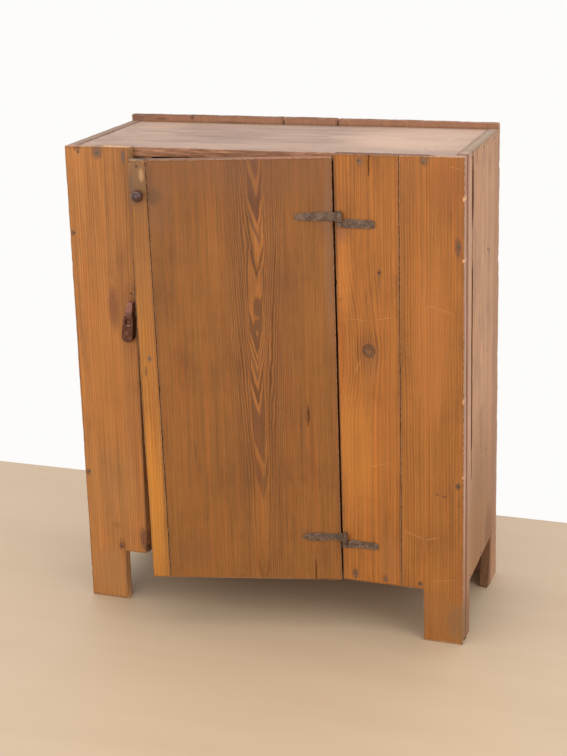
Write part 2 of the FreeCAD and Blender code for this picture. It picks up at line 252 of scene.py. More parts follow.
# %% Floor and wall
def flat(name, corners, finish):
    """A flat sheet of stage."""
    mesh = bpy.data.meshes.new(name)
    mesh.from_pydata(corners, [], [tuple(range(len(corners)))])
    mesh.materials.append(finish.material)
    sheet = bpy.data.objects.new(name, mesh)
    bpy.context.scene.collection.objects.link(sheet)
    return sheet


floor_finish = Finish("pale_floor", Roughness=0.6)
floor_x, floor_y, _ = floor_finish.places()
floor_cloud = floor_finish.cloud([floor_x * 0.002, floor_y * 0.012], 4.0)
floor_finish.feed(Base_Color=floor_finish.mix(floor_cloud, paint(190, 165, 135), paint(200, 176, 147)))
reach = 9.0
flat("floor", [(-reach, -reach, 0), (reach, -reach, 0), (reach, reach, 0), (-reach, reach, 0)],
     floor_finish)

wall_y = 0.53
wall_finish = Finish("white_wall")
glow = wall_finish.node("Emission", sockets={"Color": paint(253, 252, 250), "Strength": 1.0})
clear = wall_finish.node("BsdfTransparent")
behind = wall_finish.node("NewGeometry", out=6)
one_sided = wall_finish.node("MixShader", sockets={0: behind, 1: glow, 2: clear})
wall_finish.tree.links.new(
    one_sided.socket, wall_finish.tree.nodes["Material Output"].inputs["Surface"]
)
wall = flat("wall", [(-reach, wall_y, 0), (reach, wall_y, 0), (reach, wall_y, reach),
                     (-reach, wall_y, reach)], wall_finish)
wall.visible_diffuse = False
wall.visible_shadow = False


# %% Lamps and sky
def lamp(name, place, aim, size, watts):
    """A wide soft lamp."""
    data = bpy.data.lights.new(name, "AREA")
    data.shape = "RECTANGLE"
    data.size, data.size_y = size
    data.energy = watts
    made = bpy.data.objects.new(name, data)
    bpy.context.scene.collection.objects.link(made)
    made.location = place
    made.rotation_euler = (Vector(aim) - Vector(place)).to_track_quat("-Z", "Y").to_euler()


lamp("front_lamp", (-0.9, -3.4, 1.5), (0, 0, 0.5), (1.8, 1.6), 19)
lamp("eye_lamp", (0.5, -3.3, 1.2), (0, 0, 0.4), (1.6, 1.2), 15)
lamp("side_lamp", (2.8, -1.6, 2.2), (0.2, 0, 0.5), (1.2, 1.6), 21)
lamp("top_lamp", (0.0, -0.4, 3.2), (0, 0, 0.5), (2.2, 1.6), 16)

SKY_LIGHT, SKY_SEEN = 1.03, 0.95
world = bpy.data.worlds.new("room")
bpy.context.scene.world = world
world.use_nodes = True
nodes, link = world.node_tree.nodes, world.node_tree.links.new
rays, seen, level = (nodes.new("ShaderNode" + kind) for kind in ("LightPath", "Math", "MapRange"))
seen.operation = "MAXIMUM"
level.inputs["To Min"].default_value = SKY_LIGHT
level.inputs["To Max"].default_value = SKY_SEEN
link(rays.outputs["Is Camera Ray"], seen.inputs[0])
link(rays.outputs["Is Glossy Ray"], seen.inputs[1])
link(seen.outputs[0], level.inputs["Value"])
link(level.outputs[0], nodes["Background"].inputs["Strength"])
nodes["Background"].inputs["Color"].default_value = (1, 1, 1, 1)
bpy.context.scene.view_settings.view_transform = "Standard"
print("lamps:", [light.name for light in bpy.data.lights])

# %% [markdown]
# ## The pine finish
#
# Sawn pine shows the tree's yearly rings.  A painted stripe texture never
# looks right where a face meets an end, so the rings are worked out in
# space: each point's distance from the heart of the log, divided by the
# width of a ring.  A heart close behind the face gives the nested V's of a
# flat-sawn board, and one far to the side gives straight lines.  Knots push
# the rings aside.  Over that come fibre, wax, grime, rubbed edges, the
# stains round the nails, and a few marks of painted shade and painted highlight.
#
# A board's own coordinates are u across it, v along its grain and w deep
# into it from the face that shows.

# %% A board's own coordinates
AXES = "XYZ"


class Lay:
    """How a board lies: its box, the face that shows and the way of its grain."""

    def __init__(self, node, face, grain, stand=AS_PACKED):
        self.node, self.stand = node, stand
        self.low, self.high = node_box(node, stand)
        self.deep, self.along = AXES.index(face[1]), AXES.index(grain)
        self.across = 3 - self.deep - self.along
        self.from_high = face[0] == "+"
        spans = [float(span) for span in self.high - self.low]
        self.wide, self.long, self.thick = spans[self.across], spans[self.along], spans[self.deep]

    def points(self, u, v, w):
        """Points in the row's frame, in millimetres, from board coordinates."""
        spots = np.zeros((len(u), 3))
        spots[:, self.across] = self.low[self.across] + u
        spots[:, self.along] = self.low[self.along] + v
        spots[:, self.deep] = self.high[self.deep] - w if self.from_high else self.low[self.deep] + w
        return spots

    def fields(self, finish):
        """The same coordinates as shader fields."""
        spot = finish.places()
        u = spot[self.across] - float(self.low[self.across])
        v = spot[self.along] - float(self.low[self.along])
        if self.from_high:
            return u, v, float(self.high[self.deep]) - spot[self.deep]
        return u, v, spot[self.deep] - float(self.low[self.deep])


# %% Marks on a board: stains, knots and scratches
def oval(u, v, middle_u, middle_v, half_u, half_v):
    """How far out a point lies, squared: 0 in the middle of an oval, 1 on its rim."""
    side, rise = (u - middle_u) / half_u, (v - middle_v) / half_v
    return side * side + rise * rise


def blot(u, v, rough, *place):
    """A soft round mark: 1 inside, 0 outside, with a ragged rim."""
    return (oval(u, v, *place).root() + rough * 0.6 - 0.3).rise(1.0, 0.35)


def scratch(u, v, rough, start_u, start_v, end_u, end_v, breadth):
    """A fine straight line with soft ends."""
    reach_u, reach_v = end_u - start_u, end_v - start_v
    length = math.hypot(reach_u, reach_v)
    way_u, way_v = reach_u / length, reach_v / length
    past = ((u - start_u) * way_u + (v - start_v) * way_v) / length
    aside = abs((u - start_u) * way_v - (v - start_v) * way_u)
    return (aside + rough - 0.5).rise(breadth, 0.0) * past.rise(0.0, 0.15) * past.rise(1.0, 0.8)


# %% Tones of wood: early growth, late growth, and late growth gone dusky
TONES = {
    "left board": (paint(176, 116, 60), paint(132, 80, 38), paint(122, 78, 47)),
    "inner board": (paint(164, 101, 40), paint(112, 62, 24), paint(102, 62, 34)),
    "outer board": (paint(160, 100, 41), paint(110, 64, 25), paint(102, 65, 35)),
    "door": (paint(138, 87, 37), paint(94, 54, 23), paint(98, 64, 44)),
    "strip": (paint(172, 112, 46), paint(120, 70, 29), paint(112, 76, 46)),
    "side": (paint(190, 144, 108), paint(146, 102, 72), paint(136, 102, 80)),
    "top": (paint(176, 146, 128), paint(140, 106, 88), paint(126, 102, 92)),
    "back": (paint(160, 112, 78), paint(122, 78, 50), paint(104, 72, 54)),
    "inside": (paint(164, 120, 80), paint(132, 90, 56), paint(122, 90, 66)),
}
GRIMY = paint(86, 48, 28)
DRY_EDGE = paint(176, 134, 106)
INSIDE = paint(150, 108, 74)
SKIN_FROM, SKIN_TO = 0.9, 2.4  # the depths over which the finish gives way to bare wood


# %% The rings of a log, cut by a board
def log_rings(finish, u, v, w, heart, ring, lean, dive, wobble, long, seed):
    """Ring numbers round a heart line that leans, dives and wavers a little."""
    cloud = finish.cloud
    from_middle = v - long / 2
    drift = cloud([v * 0.0025 + seed], 1.0) - 0.5
    waves = cloud([u * 0.006, v * 0.011 + seed, w * 0.006], 1.0) - 0.5
    bend = cloud([u * 0.011 + seed, v * 0.0018, w * 0.011], 2.0) - 0.5
    aside = u - heart[0] - from_middle * lean - drift * wobble * 3.0
    below = w - heart[1] - from_middle * dive - waves * 6.0
    rings = ((aside * aside + below * below).root() + bend * wobble * 2.0) * (1 / ring)
    rings = rings + (cloud([rings * 0.21 + seed], 1.0) - 0.5) * 2.5
    return rings, abs(aside)


# %% [markdown]
# The door's flame could be cut from a log too, but a log's V's fall where its
# waves put them.  So the height of each V's tip on the middle line is written
# down, and a point beside the line takes the ring of a point further down it.

# %% The rings of a flame, set tip by tip
FLAME_MIDDLE = 205
# a colour ramp holds 0 to 1, so ring numbers and the tips' middles are scaled to fit
RING_SPAN = 20
SWAY_FROM, SWAY_SPAN = 180, 50


def flame_rings(finish, u, v, w, tips, eyes, long, seed):
    """Ring numbers of nested V's: tips gives (height, ring number, middle) from the
    foot up, and eyes are small closed ovals (u, v, half width, half height)."""
    waver = finish.cloud([u * 0.012 + seed, v * 0.006, w * 0.012], 3.0) - 0.5
    jag = finish.cloud([u * 0.05, v * 0.035 + seed, w * 0.05], 3.0, 0.6) - 0.5
    stops = [(at / long, (ring / RING_SPAN, (middle - SWAY_FROM) / SWAY_SPAN, 0, 1))
             for at, ring, middle in tips]
    along_middle = finish.node("ValToRGB", {"stops": stops}, {"Fac": v * (1 / long)})
    middle = finish.node("SeparateColor", sockets={0: along_middle}, out=1) * SWAY_SPAN + SWAY_FROM
    # the sway of the middle line fades to either side
    middle = (middle - FLAME_MIDDLE) * abs(u - FLAME_MIDDLE).rise(32.0, 10.0) + FLAME_MIDDLE
    side = u - middle + waver * 5.0 + jag * 5.0
    aside = abs(side)
    right_hand = side.rise(-1, 1)
    # each arm falls away from its tip, steeper on the right and steeper again further out
    outer = (aside - 16 + right_hand * 6).most(0.0)
    lower = v - (aside * (right_hand * 2.6 + 3.4) + outer * 3.0) - w * 7.0
    further = finish.node("ValToRGB", {"stops": stops}, {"Fac": lower * (1 / long)})
    number = finish.node("SeparateColor", sockets={0: further}, out=0) * RING_SPAN
    # past the board's ends, and away from the flame, the rings count on evenly
    number = number + (0 - lower).most(0.0) * 0.016 + (lower - long).most(0.0) * -0.016
    steady = 12.6 - lower * 0.0117
    near = aside.rise(46.0, 14.0)
    number = number * near + steady * (1 - near) + outer * 0.16 + jag * 0.25
    for eye in eyes:
        number = number + oval(u, v, *eye).root().rise(1.7, 0.2) * 0.45
    return number, aside


# %% Pine
def pine(lay, tone, heart=(0, 60), ring=3.2, lean=0.0, dive=0.006, wobble=2.5, figure=0.4, flame=0.0,
         tips=(), eyes=(), seed=0.0, knots=(), swirls=(), stains_and_painted_light=(), scratches=(),
         edges=(INSIDE, INSIDE), far_face=INSIDE, edge_rub=None, dirt=0.5, rubbed=0.5, sheen=0.5):
    """Old pine for one board.  heart is the log's centre in u and w, and ring is a
    year's width.  knots are (u, v, size), swirls bend the grain (v0, v1, shift),
    stains_and_painted_light are stains and marks of painted shade and painted highlight
    (u, v, half width, half height, colour, share), scratches (u, v, u, v, breadth)."""
    finish = Finish(lay.node + "_pine", Specular_IOR_Level=0.3)
    cloud, mix = finish.cloud, finish.mix
    u, v, w = lay.fields(finish)
    light, dark, dusk = TONES[tone]

    # the rings, pushed aside by swirls and knots
    flow = u
    for start_v, end_v, shift in swirls:
        flow = flow - v.rise(start_v, end_v) * u.rise(lay.wide, 20.0) * shift
    for at_u, at_v, size in knots:
        off = oval(u, v, at_u, at_v, size, size * 1.7)
        flow = flow - (u - at_u) * (1.0 / (off + 0.35)).least(1.0)
    if tips:
        rings, aside = flame_rings(finish, flow, v, w, tips, eyes, lay.long, seed)
    else:
        rings, aside = log_rings(finish, flow, v, w, heart, ring, lean, dive, wobble, lay.long, seed)
    year = rings.part()
    strong = cloud([rings.whole() * 3.7 + seed], 0.0).rise(0.3, 0.7)
    even = 0.3 if tips else 0.0
    late = year.rise(0.3, 0.55) * year.rise(1.0, 0.9) * (strong * (0.6 - even) + 0.5 + even)
    shown = aside.rise(86.0, 24.0) * flame + figure
    if tips:
        shown = shown * (v.rise(60.0, 420.0) * 0.5 + 0.5)
    for at_u, at_v, size in knots:
        shown = shown + oval(u, v, at_u, at_v, size * 2.4, size * 4.0).rise(1.3, 0.1) * 0.8

    # fibre, streaks and blotches over them
    fibre = cloud([u * 0.4 + seed, v * 0.005, w * 0.4], 3.0, 0.65) - 0.5
    streak = cloud([u * 0.2, v * 0.002 + seed, w * 0.2], 3.0, 0.6) - 0.5
    band = cloud([u * 0.05, v * 0.0016 + seed, w * 0.05], 2.0) - 0.5
    blotch = cloud([u * 0.012, v * 0.006 + seed, w * 0.012], 4.0, 0.6) - 0.5
    rough = cloud([u * 0.22 + seed, v * 0.14, w * 0.22], 3.0)
    pores = cloud([u * 0.75, v * 0.026 + seed, w * 0.75], 2.0).rise(0.55, 0.75)
    colour = mix(late * shown, light, mix(strong, dusk, dark))
    if tips:
        gold = (1 - late) * aside.rise(30.0, 4.0) * (v.rise(120.0, 400.0) * 0.28 + 0.06)
        colour = mix(gold, colour, paint(178, 110, 50))
    shade = 1.0 + fibre * 0.9 + streak * 0.58 + band * 0.44 + blotch * 0.5 - pores * 0.24
    grey = finish.node("CombineXYZ", sockets={0: shade, 1: shade, 2: shade})
    colour = mix(1.0, colour, grey, "MULTIPLY")
    colour = mix(band.rise(0.05, 0.3) * 0.3, colour, paint(196, 124, 46), "SOFT_LIGHT")
    colour = mix(streak.rise(0.02, 0.2) * 0.3, colour, paint(255, 205, 160), "MULTIPLY")
    colour = mix(blotch.rise(-0.02, -0.2) * 0.4, colour, paint(226, 226, 250), "MULTIPLY")

    for at_u, at_v, size in knots:
        ragged = cloud([u * 0.3, v * 0.3 + seed, w * 0.05], 4.0, 0.65)
        off = oval(u, v, at_u, at_v, size, size * 1.15).root() + ragged * 0.7 - 0.35
        core = mix(ragged.rise(0.45, 0.62), paint(38, 24, 15), paint(146, 102, 66))
        core = mix(off.rise(0.62, 0.85) * 0.85, core, paint(70, 40, 24))
        colour = mix(off.rise(2.3, 1.0) * 0.45, colour, paint(124, 74, 36))
        colour = mix(off.rise(1.12, 0.92), colour, core)

    # the bare edges and the far face
    edge = mix(u.rise(0.4 * lay.wide, 0.6 * lay.wide), *edges)
    edge = mix(w.rise(lay.thick - SKIN_TO, lay.thick - SKIN_FROM), edge, far_face)
    edge = mix(late * 0.35, edge, mix(1.0, edge, paint(190, 170, 155), "MULTIPLY"))
    if edge_rub:
        worn = cloud([u * 0.1, v * 0.018 + seed, w * 0.2], 3.0, 0.6)
        edge = mix(worn.rise(0.48, 0.34) * 0.6, edge, paint(84, 52, 36))
        edge = mix(worn.rise(0.54, 0.64) * 0.6, edge, edge_rub)
    edge = mix(1.0, edge, grey, "MULTIPLY")
    colour = mix(w.rise(SKIN_FROM, SKIN_TO), colour, edge)

    # stains and painted shade and highlights, grime, rubbed corners, scratches and drying checks
    for *place, tint, share in stains_and_painted_light:
        colour = mix(blot(u, v, rough, *place) * share, colour, paint(*tint))
    corner = finish.vertex_value("arris")
    colour = mix(corner.rise(0.1, 0.8) * rough.rise(0.2, 0.7) * dirt, colour, GRIMY)
    colour = mix(corner.rise(0.75, 0.98) * rough.rise(0.4, 0.6) * rubbed, colour, paint(206, 166, 126))
    for line in scratches:
        colour = mix(scratch(u, v, rough, *line) * w.rise(1.5, 0.5) * 0.35, colour, paint(214, 160, 100))
    # the checks are darker inside: partly dirt in the cracks, partly painted shade
    check = finish.vertex_value("check").rise(0.03, 0.4)
    colour = mix(check, colour, paint(92, 52, 33))
    finish.feed(Base_Color=colour, Roughness=0.66 - 0.24 * sheen + fibre * 0.2 + check * 0.2)
    finish.relief(late * 0.4 + fibre * 1.2 + streak - pores * 0.5 + rough * 0.3, 0.3, 0.4 * MM)
    return finish


print("tones:", ", ".join(TONES))

# %% [markdown]
# ## The worn board
#
# A real old board has rounded corners that vary along their length, small
# chips, faces that aren't quite flat, and drying checks.  A bevel modifier
# gives one even radius, so each board is built on a grid of its own, with
# lines close together near every edge.  The square corner is then pulled
# onto an arc whose radius wanders, and everything that moves goes inward.

# %% Grid lines and slow random lines
NEAR_EDGE = (0.6, 1.5, 3.0, 6.0, 11.0)


def grid_lines(stops, step, extra=()):
    """Places from the first stop to the last, close together beside each stop."""
    lines = list(stops) + list(extra)
    beside = [stop + side * near for stop in stops for near in NEAR_EDGE for side in (-1, 1)]
    even = []
    for start, end in zip(stops[:-1], stops[1:]):
        count = max(1, round((end - start) / step))
        even += [start + (end - start) * n / count for n in range(1, count)]
    for room, places in ((0.35, beside), (step * 0.3, even)):
        for place in places:
            inside = stops[0] < place < stops[-1]
            if inside and min(abs(place - line) for line in lines) > room:
                lines.append(place)
    return np.array(sorted(lines))


def wander(place, seed, waves):
    """A slow random line between -1 and 1: a few sines of random phase."""
    draw = random.Random(seed)
    total = 0.0
    for wave in waves:
        wave = wave * draw.uniform(0.8, 1.25)
        total = total + np.sin(2 * math.pi * (place / wave + draw.random()))
    return total / len(waves)


def chips(place, seed, length, every, deep):
    """Small chips knocked out of an edge, as extra rounding along it."""
    draw = random.Random(seed)
    total = np.zeros_like(place)
    for _ in range(int(length / every)):
        spot, half = draw.uniform(0, length), draw.uniform(3.0, 8.0)
        total += draw.uniform(0.3, 1.0) * deep * np.exp(-(((place - spot) / half) ** 2))
    return total


# %% The board's edges, read from its grid
def edge_runs(u_lines, v_lines, solid):
    """The straight edges of a board: (way, place, start, end, inward)."""
    runs = []
    padded = np.pad(solid, 1)
    for way, lines, others in ((0, u_lines, v_lines), (1, v_lines, u_lines)):
        cells = padded if way == 0 else padded.T
        for n, place in enumerate(lines):
            before, after = cells[n, 1:-1], cells[n + 1, 1:-1]
            for inward in (1, -1):
                edge = (after & ~before) if inward > 0 else (before & ~after)
                start = None
                for m, here in enumerate(list(edge) + [False]):
                    if here and start is None:
                        start = m
                    if not here and start is not None:
                        runs.append((way, place, others[start], others[m], inward))
                        start = None
    return runs


# %% The board's skin and its drying checks
def board_skin(solid, deepest):
    """Grid corners and faces all round the solid cells, from the face to the far face."""
    index, faces = {}, []

    def corner(i, j, k):
        return index.setdefault((i, j, k), len(index))

    padded = np.pad(solid, 1)
    for i, j in zip(*np.nonzero(solid)):
        ring = ((i, j), (i + 1, j), (i + 1, j + 1), (i, j + 1))
        faces.append([corner(a, b, 0) for a, b in ring])
        faces.append([corner(a, b, deepest) for a, b in reversed(ring)])
        beside = ((i + 1, j), (i + 2, j + 1), (i + 1, j + 2), (i, j + 1))
        for side, (a, b) in enumerate(beside):
            if not padded[a, b]:
                (i0, j0), (i1, j1) = ring[side], ring[(side + 1) % 4]
                for k in range(deepest):
                    faces.append([corner(i0, j0, k + 1), corner(i1, j1, k + 1),
                                  corner(i1, j1, k), corner(i0, j0, k)])
    return np.array(list(index)), faces


def check_depths(u, v, checks, long):
    """How deep the drying checks are at each point; one that meets an end is open there."""
    groove = np.zeros(len(u))
    for check_u, v0, v1, breadth, deep in checks:
        from_ends = np.minimum(v - v0 + 1, v1 - v + 1)
        if v0 <= 0 or v1 >= long:
            from_ends = v - v0 if v1 >= long else v1 - v
        ends = np.clip(from_ends / (0.3 * (v1 - v0)), 0, 1)
        half = np.maximum(0.5 * breadth * ends**0.5, 0.01)
        depth_here = deep * ends**0.5 * np.clip(2 - 2 * abs(u - check_u) / half, 0, 1)
        groove = np.maximum(groove, np.where((v >= v0) & (v <= v1), depth_here, 0))
    return groove


# %% The board's mesh
CORNER_SPAN = 6.0  # how far from a corner its grime reaches, and how deep a hollow is felt
CROOKED_SPAN = 25.0  # how far in from a crooked edge the board moves with it


def worn_board(lay, cuts=(), checks=(), bites=(), slant=None, arris=1.6, rounding=None, chip=1.5,
               every=70.0, step=7.0, crooked=0.5, hollow=0.35, sinks=(0, 0), seed=1):
    """A worn board: cuts are boxes taken out of its outline (u0, u1, v0, v1), checks
    are cracks (u, v0, v1, breadth, depth), bites are balls of lost wood (u, v, w, r).
    rounding gives the first (u = 0), last, foot or head edge a rounding of its own, and
    sinks is how far the upper end has worn down at each side."""
    wide, long, thick = lay.wide, lay.long, lay.thick

    # a grid with its lines close together at every edge and check
    u_stops = sorted({0.0, wide, *(c for cut in cuts for c in cut[:2] if 0 < c < wide)})
    v_stops = sorted({0.0, long, *(c for cut in cuts for c in cut[2:] if 0 < c < long)})
    beside_checks = [c[0] + c[3] * side for c in checks for side in (-0.5, -0.3, 0.0, 0.3, 0.5)]
    u_lines = grid_lines(u_stops, step, beside_checks)
    v_lines = grid_lines(v_stops, step)
    w_lines = np.array([0, 0.6, 1.5, 3.0, thick / 2, thick - 3.0, thick - 1.5, thick - 0.6, thick])

    u_mid, v_mid = (u_lines[1:] + u_lines[:-1]) / 2, (v_lines[1:] + v_lines[:-1]) / 2
    solid = np.ones((len(u_mid), len(v_mid)), bool)
    for u0, u1, v0, v1 in cuts:
        solid &= ~np.outer((u_mid > u0) & (u_mid < u1), (v_mid > v0) & (v_mid < v1))

    # how far each edge's rounding and its crookedness move a point
    edge_names = {(0, 0.0): "first", (0, wide): "last", (1, 0.0): "foot", (1, long): "head"}
    keys, faces = board_skin(solid, len(w_lines) - 1)
    u, v, w = u_lines[keys[:, 0]], v_lines[keys[:, 1]], w_lines[keys[:, 2]]
    radius, near = np.zeros(len(u)), np.full(len(u), np.inf)
    moves, pulls = [np.zeros(len(u)), np.zeros(len(u))], [np.zeros(len(u)), np.zeros(len(u))]
    for number, (way, place, start, end, inward) in enumerate(edge_runs(u_lines, v_lines, solid)):
        here, other = (u, v) if way == 0 else (v, u)
        off = (here - place) * inward
        beside = (other >= start - 0.01) & (other <= end + 0.01) & (off >= -0.01)
        run_seed = seed * 31 + number
        size = (rounding or {}).get(edge_names.get((way, float(place))), arris)
        bend = size * (1 + 0.35 * wander(other, run_seed, (170, 60, 23)))
        bend += chips(other, run_seed, long, every, chip)
        reach = np.where(beside, np.clip(bend - off, 0, None), 0)
        radius = np.maximum(radius, np.where(reach > 0, bend, 0))
        pulls[way] += reach * inward
        slack = 0.5 + 0.5 * wander(other, run_seed + 7, (260, 90, 31))
        moves[way] += np.where(beside, slack * crooked * np.clip(1 - off / CROOKED_SPAN, 0, 1), 0) * inward
        near = np.where(beside, np.minimum(near, off), near)

    # the corners are pulled onto their arcs, and the faces are a little hollow
    depth = np.minimum(w, thick - w)
    deep_pull = np.where(radius > 0, np.clip(radius - depth, 0, None), 0)
    total = np.sqrt(pulls[0] ** 2 + pulls[1] ** 2 + deep_pull**2)
    share = np.where(total > radius, 1 - radius / np.maximum(total, 1e-9), 0)
    inner = np.where(w < thick / 2, 1, -1)
    flatness = hollow * (0.5 + 0.5 * wander(v + 0.35 * u, seed, (310, 140)) *
                         wander(u, seed + 5, (95, 40)))

    # the checks, and what the finish reads from the mesh
    groove = check_depths(u, v, checks, long)
    attributes = {
        "arris": np.clip(1 - (near + depth) / CORNER_SPAN, 0, 1),
        "check": np.clip(groove / 1.2, 0, 1) * (w < thick / 2),
    }
    crack_bend = sum(
        (1.6 * wander(v, seed + 3, (210, 70, 28)) * np.exp(-(((u - c[0]) / 7) ** 2)) for c in checks),
        np.zeros(len(u)),
    )

    # every point moves; one inside a bite is pushed out to the bite's rim
    u = u + pulls[0] * share + moves[0] + crack_bend
    v = v + pulls[1] * share + moves[1]
    w = w + inner * (deep_pull * share + flatness * np.clip(1 - depth / CORNER_SPAN, 0, 1))
    w = np.maximum(w, groove)
    for bite_u, bite_v, bite_w, ball in bites:
        away = np.stack([u - bite_u, v - bite_v, w - bite_w])
        far = np.sqrt((away**2).sum(axis=0)) + 1e-9
        ragged = ball * (1 + 0.12 * wander(u + 2 * v + 3 * w, seed + 11, (9, 5)))
        push = np.where(far < ragged, ragged / far, 1.0)
        u, v, w = bite_u + away[0] * push, bite_v + away[1] * push, bite_w + away[2] * push
        u, v = np.clip(u, 0, wide), np.clip(v, 0, long)
        w = np.clip(w, 0, thick)
    v = v - v / long * (sinks[0] + (sinks[1] - sinks[0]) * u / wide)
    if slant:
        u = slant(u, v)
    return build(lay.node, lay.points(u, v, w), faces, attributes)


# %% [markdown]
# Every piece goes into the scene the same way: a mesh, a finish, the body
# it rides on and the solid it stands for.


# %% Putting pieces into the scene
bodies = {
    node: body for body, nodes in frame["record"]["behaviour"]["bodies"].items() for node in nodes
}
made_pieces = []


def build(node, points, faces, attributes=None):
    """A smooth closed mesh from points in millimetres."""
    mesh = bpy.data.meshes.new(node + "_worn")
    mesh.from_pydata((points * MM).tolist(), [], faces)
    for name, values in (attributes or {}).items():
        layer = mesh.attributes.new(name, "FLOAT", "POINT")
        layer.data.foreach_set("value", values.astype(np.float32))
    form = bmesh.new()
    form.from_mesh(mesh)
    bmesh.ops.recalc_face_normals(form, faces=form.faces)
    form.to_mesh(mesh)
    form.free()
    mesh.shade_smooth()
    return mesh


def place_piece(mesh, node, finish, stand=AS_PACKED):
    """Puts a piece in the place of the solid that it stands for."""
    piece = bpy.data.objects.new(mesh.name, mesh)
    bpy.context.scene.collection.objects.link(piece)
    mesh.materials.clear()
    mesh.materials.append(finish.material)
    piece.matrix_world = stand
    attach(piece, bodies[node])
    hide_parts(node)
    made_pieces.append(piece)


def dress(lay, tone, worn, look):
    """Makes one board, gives it its pine and puts it in its place."""
    place_piece(worn_board(lay, **worn), lay.node, pine(lay, tone, **look), lay.stand)


# %% [markdown]
# ## The front boards
#
# Three boards frame the door: a narrowing one at its left and two at its
# right.  The two outer ones run down to the floor as feet.  Their faces were
# waxed and handled for generations; their backs stayed bare.  Grey and
# brown stains mark where the iron nails have bled into the wood.

# %% The left board, with its foot
INK, SOOT, PALE_END = (74, 56, 46), (98, 64, 42), (204, 166, 122)
FAR = 3000  # the reach of a stain that runs past a board's ends
left_lay = Lay("stile_left", "-Y", "Z")
left_foot, floor_space, board_foot = 84.0, 111.0, 135.0


def narrows(u, v):
    """The board tapers towards the floor on its door side."""
    rise = np.clip((v - floor_space) / (left_lay.long - floor_space), 0, 1)
    door_edge = board_foot + (left_lay.wide - board_foot) * rise
    stretch = (door_edge - left_foot) / (left_lay.wide - left_foot)
    return np.where(u > left_foot, left_foot + (u - left_foot) * stretch, u)


dress(left_lay, "left board", dict(
    cuts=[(left_foot, left_lay.wide, 0, floor_space)],
    bites=[(left_lay.wide + 4, floor_space - 3, 2, 10), (left_lay.wide + 3, floor_space + 22, 0, 6),
           (-4, 800, -2, 6), (-5, 640, -2, 6.5), (-4.5, 742, 3, 6), (left_foot + 3, 4, 0, 6),
           (30, -4, 0, 6), (62, -4, -1, 6.5)],
    slant=narrows, rounding={"foot": 2.6, "last": 1.8}, crooked=0.8, seed=3,
), dict(
    heart=(190, 60), ring=4.6, lean=0.008, dive=0.01, seed=2.0, knots=[(77, 124, 5)],
    stains_and_painted_light=[
        (72, 974, 17, 22, (112, 78, 54), 0.75), (72, 972, 9, 10, (106, 92, 82), 0.7),
        (28, 980, 12, 8, SOOT, 0.6), (128, 966, 7, 20, (100, 82, 72), 0.75),
        (6, 805, 6, 10, SOOT, 0.7), (7, 284, 7, 10, SOOT, 0.85),
        (130, 684, 4.2, 4.2, (34, 20, 12), 1.0), (88, 650, 16, 64, (116, 70, 50), 0.7),
        (118, 640, 34, 100, (134, 84, 46), 0.5), (128, 146, 12, 34, (104, 66, 48), 0.75),
        (136, 122, 9, 14, (66, 42, 30), 0.8), (77, 125, 10, 10, (132, 82, 52), 0.7),
        (120, 400, 10, 300, (164, 104, 54), 0.4), (60, 500, 60, 240, (190, 120, 52), 0.3),
        (66, 170, 14, 12, (134, 86, 42), 0.5), (42, 0, 60, 3.5, PALE_END, 0.8),
        (50, 60, 60, 70, (164, 114, 66), 0.6), (144, 420, 11, FAR, (140, 98, 60), 0.5),
        # (142, 650) right of the turn button is partly a stain, partly the button's painted shadow
        (142, 650, 14, 90, (112, 72, 46), 0.55), (60, 250, 80, 130, (170, 118, 66), 0.35),
    ],
    # the door-side edge colour is painted light: paler than its bare wood, so the edge reads lit in the shaded gap
    # beside the door
    edges=(DRY_EDGE, paint(214, 158, 104)), rubbed=0.55,
))

# %% The two boards right of the door
inner_lay = Lay("stile_right_inner", "-Y", "Z")
outer_lay = Lay("stile_right_outer", "-Y", "Z")
right_foot_start, outer_edge = outer_lay.wide - 80.0, outer_lay.wide + 4


def door_side_leans(u, v):
    """The edge beside the door isn't quite upright."""
    return u + (1.0 - 6.0 * v / inner_lay.long) * (1 - u / inner_lay.wide)


dress(inner_lay, "inner board", dict(
    checks=[(66, 832, 873.5, 1.8, 5)], slant=door_side_leans, seed=5, crooked=0.2, chip=0.8,
    rounding={"first": 1.0, "last": 0.7}, bites=[(70, 877, -1, 5), (-2, 620, -2, 5), (2, 366, -2, 4.6)],
), dict(
    heart=(240, 40), ring=5.4, dive=0.01, seed=7.0, wobble=2.0, figure=0.42,
    knots=[(60, 489, 12.5), (82, 646, 2.6)], swirls=[(680, 490, 26), (470, 320, -20)],
    stains_and_painted_light=[
        (47, 859, 8, 14, (112, 78, 58), 0.6), (47, 858, 4, 5, (120, 100, 86), 0.5),
        (26, 17, 9, 15, (86, 62, 48), 0.75), (88, 14, 7, 11, (86, 62, 48), 0.7),
        (82, 630, 3, 30, SOOT, 0.4), (30, 280, 60, 170, (196, 124, 50), 0.4),
        (10, 721, 14, 30, (132, 84, 60), 0.6), (4, 588, 3, 3, INK, 0.9),
        (66, 470, 30, 60, (150, 98, 52), 0.3), (100, 60, 30, 80, (150, 96, 50), 0.4),
        (14, 640, 20, 120, (194, 120, 50), 0.4),
    ],
    scratches=[(16, 552, 60, 549, 1.0), (74, 552, 108, 560, 1.0), (60, 250, 100, 262, 1.0),
               (30, 440, 44, 470, 1.2)],
    edges=(paint(110, 62, 34), paint(120, 72, 44)), rubbed=0.4,
))
